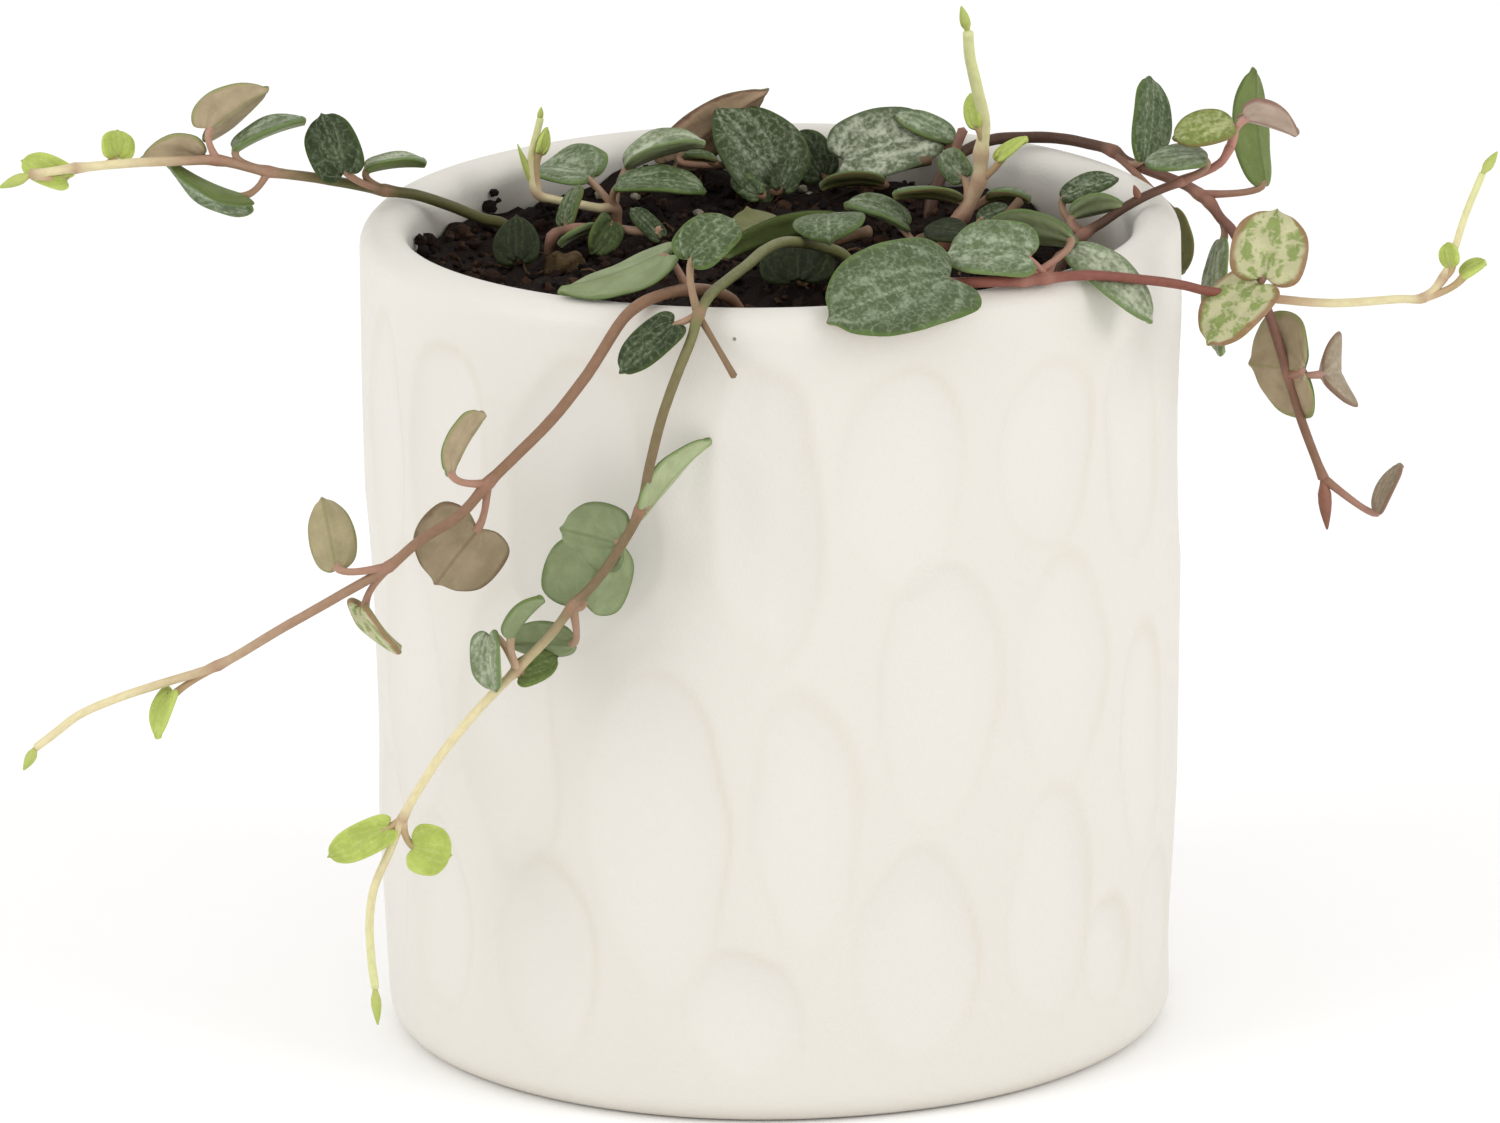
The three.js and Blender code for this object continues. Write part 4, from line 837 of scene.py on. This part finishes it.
class Term:
    """What an output of a shader node gives. Signs between terms make the nodes for their sums."""

    def __init__(self, graph, socket):
        self.graph = graph
        self.socket = socket

    def __add__(self, other):
        return self.graph.math("ADD", self, other)

    def __sub__(self, other):
        return self.graph.math("SUBTRACT", self, other)

    def __mul__(self, other):
        return self.graph.math("MULTIPLY", self, other)

    def __abs__(self):
        return self.graph.math("ABSOLUTE", self)

    def most(self, other):
        return self.graph.math("MAXIMUM", self, other)

    def ramp(self, low, high, to_low=0, to_high=1):
        """A soft step from one value to another, between two values of this term."""
        values = {"Value": self, "From Min": low, "From Max": high, "To Min": to_low, "To Max": to_high}
        return self.graph.node("MapRange", "Result", values, interpolation_type="SMOOTHSTEP")


class Graph:
    """Short calls for the nodes of one material."""

    def __init__(self, name):
        self.material = bpy.data.materials.new(name)
        self.material.use_nodes = True
        self.tree = self.material.node_tree
        self.shader = self.tree.nodes["Principled BSDF"]

    def put(self, socket, value):
        if isinstance(value, Term):
            self.tree.links.new(value.socket, socket)
        else:
            socket.default_value = value

    def node(self, kind, output, values, **settings):
        made = self.tree.nodes.new("ShaderNode" + kind)
        for key, value in settings.items():
            setattr(made, key, value)
        for key, value in values.items():
            self.put(made.inputs[key], value)
        return Term(self, made.outputs[output])

    def attribute(self, name, output="Color"):
        return self.node("Attribute", output, {}, attribute_name=name)

    def math(self, operation, a, b=0.0):
        return self.node("Math", "Value", {0: a, 1: b}, operation=operation)

    def vector_math(self, operation, output, *parts):
        return self.node("VectorMath", output, dict(enumerate(parts)), operation=operation)

    def split(self, vector):
        made = self.tree.nodes.new("ShaderNodeSeparateXYZ")
        self.put(made.inputs[0], vector)
        return [Term(self, output) for output in made.outputs]

    def mix(self, share, a, b, blend="MIX"):
        """One colour laid over another."""
        made = self.tree.nodes.new("ShaderNodeMix")
        made.data_type = "RGBA"
        made.blend_type = blend
        for name, value in (("Factor", share), ("A", a), ("B", b)):
            self.put(next(s for s in made.inputs if s.name == name and s.enabled), value)
        return Term(self, next(s for s in made.outputs if s.enabled))

    def pick(self, share, a, b):
        """From one number to another."""
        return self.node("Mix", "Result", {"Factor": share, "A": a, "B": b})

    def noise(self, place, scale, detail=2, roughness=0.5):
        values = {"Vector": place, "Scale": scale, "Detail": detail, "Roughness": roughness}
        return self.node("TexNoise", "Fac", values)

    def net(self, place, scale, bend):
        """How far the threads of a net are. A coloured noise bends them."""
        drift = self.node("TexNoise", "Color", {"Vector": place, "Scale": 1.2})
        bent = self.vector_math("MULTIPLY_ADD", "Vector", drift, (bend,) * 3, place)
        values = {"Vector": bent, "Scale": scale}
        return self.node("TexVoronoi", "Distance", values, feature="DISTANCE_TO_EDGE")

    def bump(self, height, distance, strength):
        values = {"Height": height, "Distance": distance, "Strength": strength}
        self.put(self.shader.inputs["Normal"], self.node("Bump", "Normal", values))

    def finish(self, colour, roughness, specular, skin=None):
        """Sets the shader. A skin is how much light goes under it, and how far each colour of it goes."""
        self.put(self.shader.inputs["Base Color"], colour)
        self.put(self.shader.inputs["Roughness"], roughness)
        self.shader.inputs["Specular IOR Level"].default_value = specular
        if skin:
            weight, reach = skin
            self.shader.inputs["Subsurface Weight"].default_value = weight
            self.shader.inputs["Subsurface Scale"].default_value = MM
            self.shader.inputs["Subsurface Radius"].default_value = reach
        return self.material


def screen(colour):
    return (*linear(colour), 1.0)


def leaf_material():
    """Silver marbling that gathers along the veins from the notch to the tip, over a green or mauve skin."""
    graph = Graph("leaf_skin")
    place = graph.attribute("place", "Vector")
    ground = graph.attribute("ground")
    pattern = graph.attribute("pattern")
    strength = graph.attribute("pattern", "Alpha")
    margin = graph.attribute("margin")
    x, y, _ = graph.split(place)
    across, _, face = graph.split(graph.attribute("share", "Vector"))
    away = abs(across)
    width = abs(x)
    under = face.ramp(-0.8, -0.2, 1, 0)
    blotch = graph.noise(place, 0.4, 3)
    patches = graph.noise(place, 0.5)
    marble = graph.noise(place, 2, 6, 0.72)
    grain = graph.noise(place, 8)

    # Main veins fan out from the notch, bend along the edge and waver.
    wander = patches + graph.noise(place, 1.8) * 0.35
    turn = graph.math("ARCTAN2", width, y + 0.8)
    fan = turn * 0.42 + away * 0.42 + wander * 0.24
    wave = graph.math("PINGPONG", fan * 2.2, 0.5)
    vein = wave.ramp(0, 0.3, 1, 0).most(width.ramp(0.05, 0.5, 1, 0))

    # The silver runs along the veins and a fine net between them, broken up, with a soft marbling around it.
    net = graph.net(place, 0.8, 0.5).ramp(0, 0.16, 1, 0)
    thread = width.ramp(0.06, 0.34, 1, 0).most(wave.ramp(0, 0.12, 1, 0)).most(net * 0.6)
    thread = thread * marble.ramp(0.4, 0.62, 0.1, 0.9) * under.ramp(0, 1, 1, 0.25)
    dense = marble * 0.62 + patches * 0.38 + vein * 0.08 + strength * 0.14
    dense = dense - away.ramp(0.6, 1) * 0.08 - under * 0.12
    silver = (dense.ramp(0.52, 0.8) * strength.ramp(0.1, 0.9, 0.4, 1)).most(thread)

    # A cream leaf has green islands between its veins instead, and a wide brown margin.
    cream = strength.ramp(0.92, 0.98)
    island = graph.noise(place, 0.8, 4, 0.6) + wave * 0.4 - net * 0.1
    silver = graph.pick(cream, silver, island.ramp(0.5, 0.7))

    colour = graph.mix(silver * 0.85, ground, pattern)
    colour = graph.mix(blotch.ramp(0.35, 0.65, 0.22, 0), colour, screen((134, 136, 104)), "MULTIPLY")
    ragged = away + (blotch - 0.5) * 0.3 + cream * 0.07
    colour = graph.mix(ragged.ramp(0.84, 0.99) * 0.85, colour, margin)
    colour = graph.mix(width.ramp(0.03, 0.3, 0.45, 0) * under, colour, margin)
    colour = graph.mix(grain.ramp(0.35, 0.65, 0, 0.2), colour, screen((206, 210, 188)), "MULTIPLY")
    graph.bump(grain * 0.08 + wave.ramp(0, 0.5) * 0.9 + marble * 0.5, 0.0002, 0.7)
    return graph.finish(colour, grain.ramp(0.3, 0.7, 0.5, 0.62), 0.14, (0.1, (0.8, 0.9, 0.4)))


def stalk_material():
    """A smooth young bark with pinkish knots and faint streaks."""
    graph = Graph("stalk_bark")
    place = graph.attribute("place", "Vector")
    streaks = graph.noise(place, 0.9, 3, 0.6)
    specks = graph.noise(place, 7).ramp(0.62, 0.72)
    strength = graph.attribute("pattern", "Alpha")
    colour = graph.mix(strength, graph.attribute("ground"), graph.attribute("pattern"))
    colour = graph.mix(streaks.ramp(0.35, 0.7, 0, 0.15), colour, screen((172, 134, 104)), "MULTIPLY")
    colour = graph.mix(specks * 0.08, colour, screen((226, 206, 170)))
    graph.bump(streaks, 0.0001, 0.5)
    return graph.finish(colour, streaks.ramp(0.3, 0.7, 0.48, 0.62), 0.28, (0.04, (0.7, 0.7, 0.6)))


def glaze_material():
    """A matte off-white glaze with soft clouds, warm beige lines round the dimples and a few small marks."""
    graph = Graph("matte_glaze")
    place = graph.attribute("place", "Vector")
    cloud = graph.noise(place, 0.06, 3, 0.55)
    mottle = graph.noise(place, 0.5, 4, 0.6)
    line = graph.attribute("pattern", "Alpha") * 0.45
    colour = graph.mix(line, graph.attribute("ground"), graph.attribute("pattern"))
    colour = graph.mix(cloud.ramp(0.35, 0.7, 0, 0.3), colour, screen((218, 214, 206)))
    for spot, size, tone in SPECKS:
        away = graph.vector_math("DISTANCE", "Value", place, spot) + graph.noise(place, 2.5) * size
        colour = graph.mix(away.ramp(size, size + 0.15, 0.85, 0), colour, screen(tone))
    graph.bump(mottle + graph.noise(place, 3, 3) * 0.35, 0.0002, 0.4)
    return graph.finish(colour, mottle.ramp(0.3, 0.7, 0.42, 0.54), 0.4)


def earth_material():
    """Dark crumbly soil with a few lighter grains."""
    graph = Graph("potting_soil")
    place = graph.attribute("place", "Vector")
    grit = graph.noise(place, 1.8, 5, 0.7)
    ground = graph.attribute("ground")
    colour = graph.mix(grit.ramp(0.3, 0.7, 0.6, 0), ground, screen((90, 70, 60)), "MULTIPLY")
    light = graph.noise(place, 3.2, 3).ramp(0.6, 0.74, 0, 0.22)
    colour = graph.mix(light, colour, screen((122, 86, 60)))
    graph.bump(grit, 0.001, 1)
    return graph.finish(colour, grit.ramp(0.3, 0.7, 0.8, 1), 0.2)


def floor_material():
    graph = Graph("pale_floor")
    place = graph.node("TexCoord", "Object", {})
    colour = graph.mix(graph.noise(place, 3), screen((253, 253, 253)), screen((255, 255, 255)))
    return graph.finish(colour, graph.noise(place, 6).ramp(0.3, 0.7, 0.85, 0.95), 0.5)


# Camera, lights and floor

def make_camera():
    lean = math.radians(CAMERA_ELEVATION)
    roll = math.radians(CAMERA_ROLL)
    forward = Vector((0, math.cos(lean), -math.sin(lean)))
    right = Vector((1, 0, 0))
    up = right.cross(forward)
    across = right * math.cos(roll) + up * math.sin(roll)
    above = up * math.cos(roll) - right * math.sin(roll)
    data = bpy.data.cameras.new("photo_camera")
    data.sensor_width = SENSOR
    data.lens = FOCAL_PIXELS * SENSOR / IMAGE_WIDTH
    data.clip_end = 20
    camera = bpy.data.objects.new("photo_camera", data)
    bpy.context.scene.collection.objects.link(camera)
    turned = Matrix((across, above, -forward)).transposed().to_4x4()
    spot = (CAMERA_TARGET - forward * CAMERA_DISTANCE) * MM
    camera.matrix_world = Matrix.Translation(spot) @ turned
    bpy.context.scene.camera = camera


def make_light(name, spot, size, colour):
    """A round soft light, in metres, that faces the middle of the part."""
    data = bpy.data.lights.new(name, "AREA")
    data.shape = "DISK"
    data.size = size
    data.energy = LIGHT_POWER
    data.color = colour
    light = bpy.data.objects.new(name, data)
    light.location = spot
    light.rotation_euler = (LIGHT_TARGET - Vector(spot)).to_track_quat("-Z", "Y").to_euler()
    bpy.context.scene.collection.objects.link(light)


def make_world():
    world = bpy.data.worlds.new("studio")
    world.use_nodes = True
    world.node_tree.nodes["Background"].inputs["Color"].default_value = (1.0, 0.995, 0.985, 1.0)
    world.node_tree.nodes["Background"].inputs["Strength"].default_value = WORLD_LIGHT
    bpy.context.scene.world = world


def make_floor():
    shape = Shape()
    marks = [lerp(-FLOOR_REACH, FLOOR_REACH, i / FLOOR_STEPS) for i in range(FLOOR_STEPS + 1)]
    grid = [[shape.point((x, y, 0), WHITE) for y in marks] for x in marks]
    for a, b in zip(grid, grid[1:]):
        for j in range(FLOOR_STEPS):
            shape.face((a[j], b[j], b[j + 1], a[j + 1]))
    floor = shape.piece("studio_floor", [floor_material()])


def place_piece(piece, node):
    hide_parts(node)
    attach(piece, "root")


make_camera()
make_world()
make_light("window", (1.3, -0.8, 0.8), 0.9, (1.0, 1.0, 1.0))
make_light("fill", (-1.3, -0.8, 0.8), 1.0, (0.99, 0.995, 1.0))
make_floor()
bpy.context.scene.view_settings.view_transform = "Standard"

place_piece(pot_piece(glaze_material()), "pot")
place_piece(soil_piece(earth_material()), "soil")
foliage = [leaf_material(), stalk_material()]
for number, entry in enumerate(PLANTS, 1):
    place_piece(plant_piece(entry, number, foliage), entry["name"])
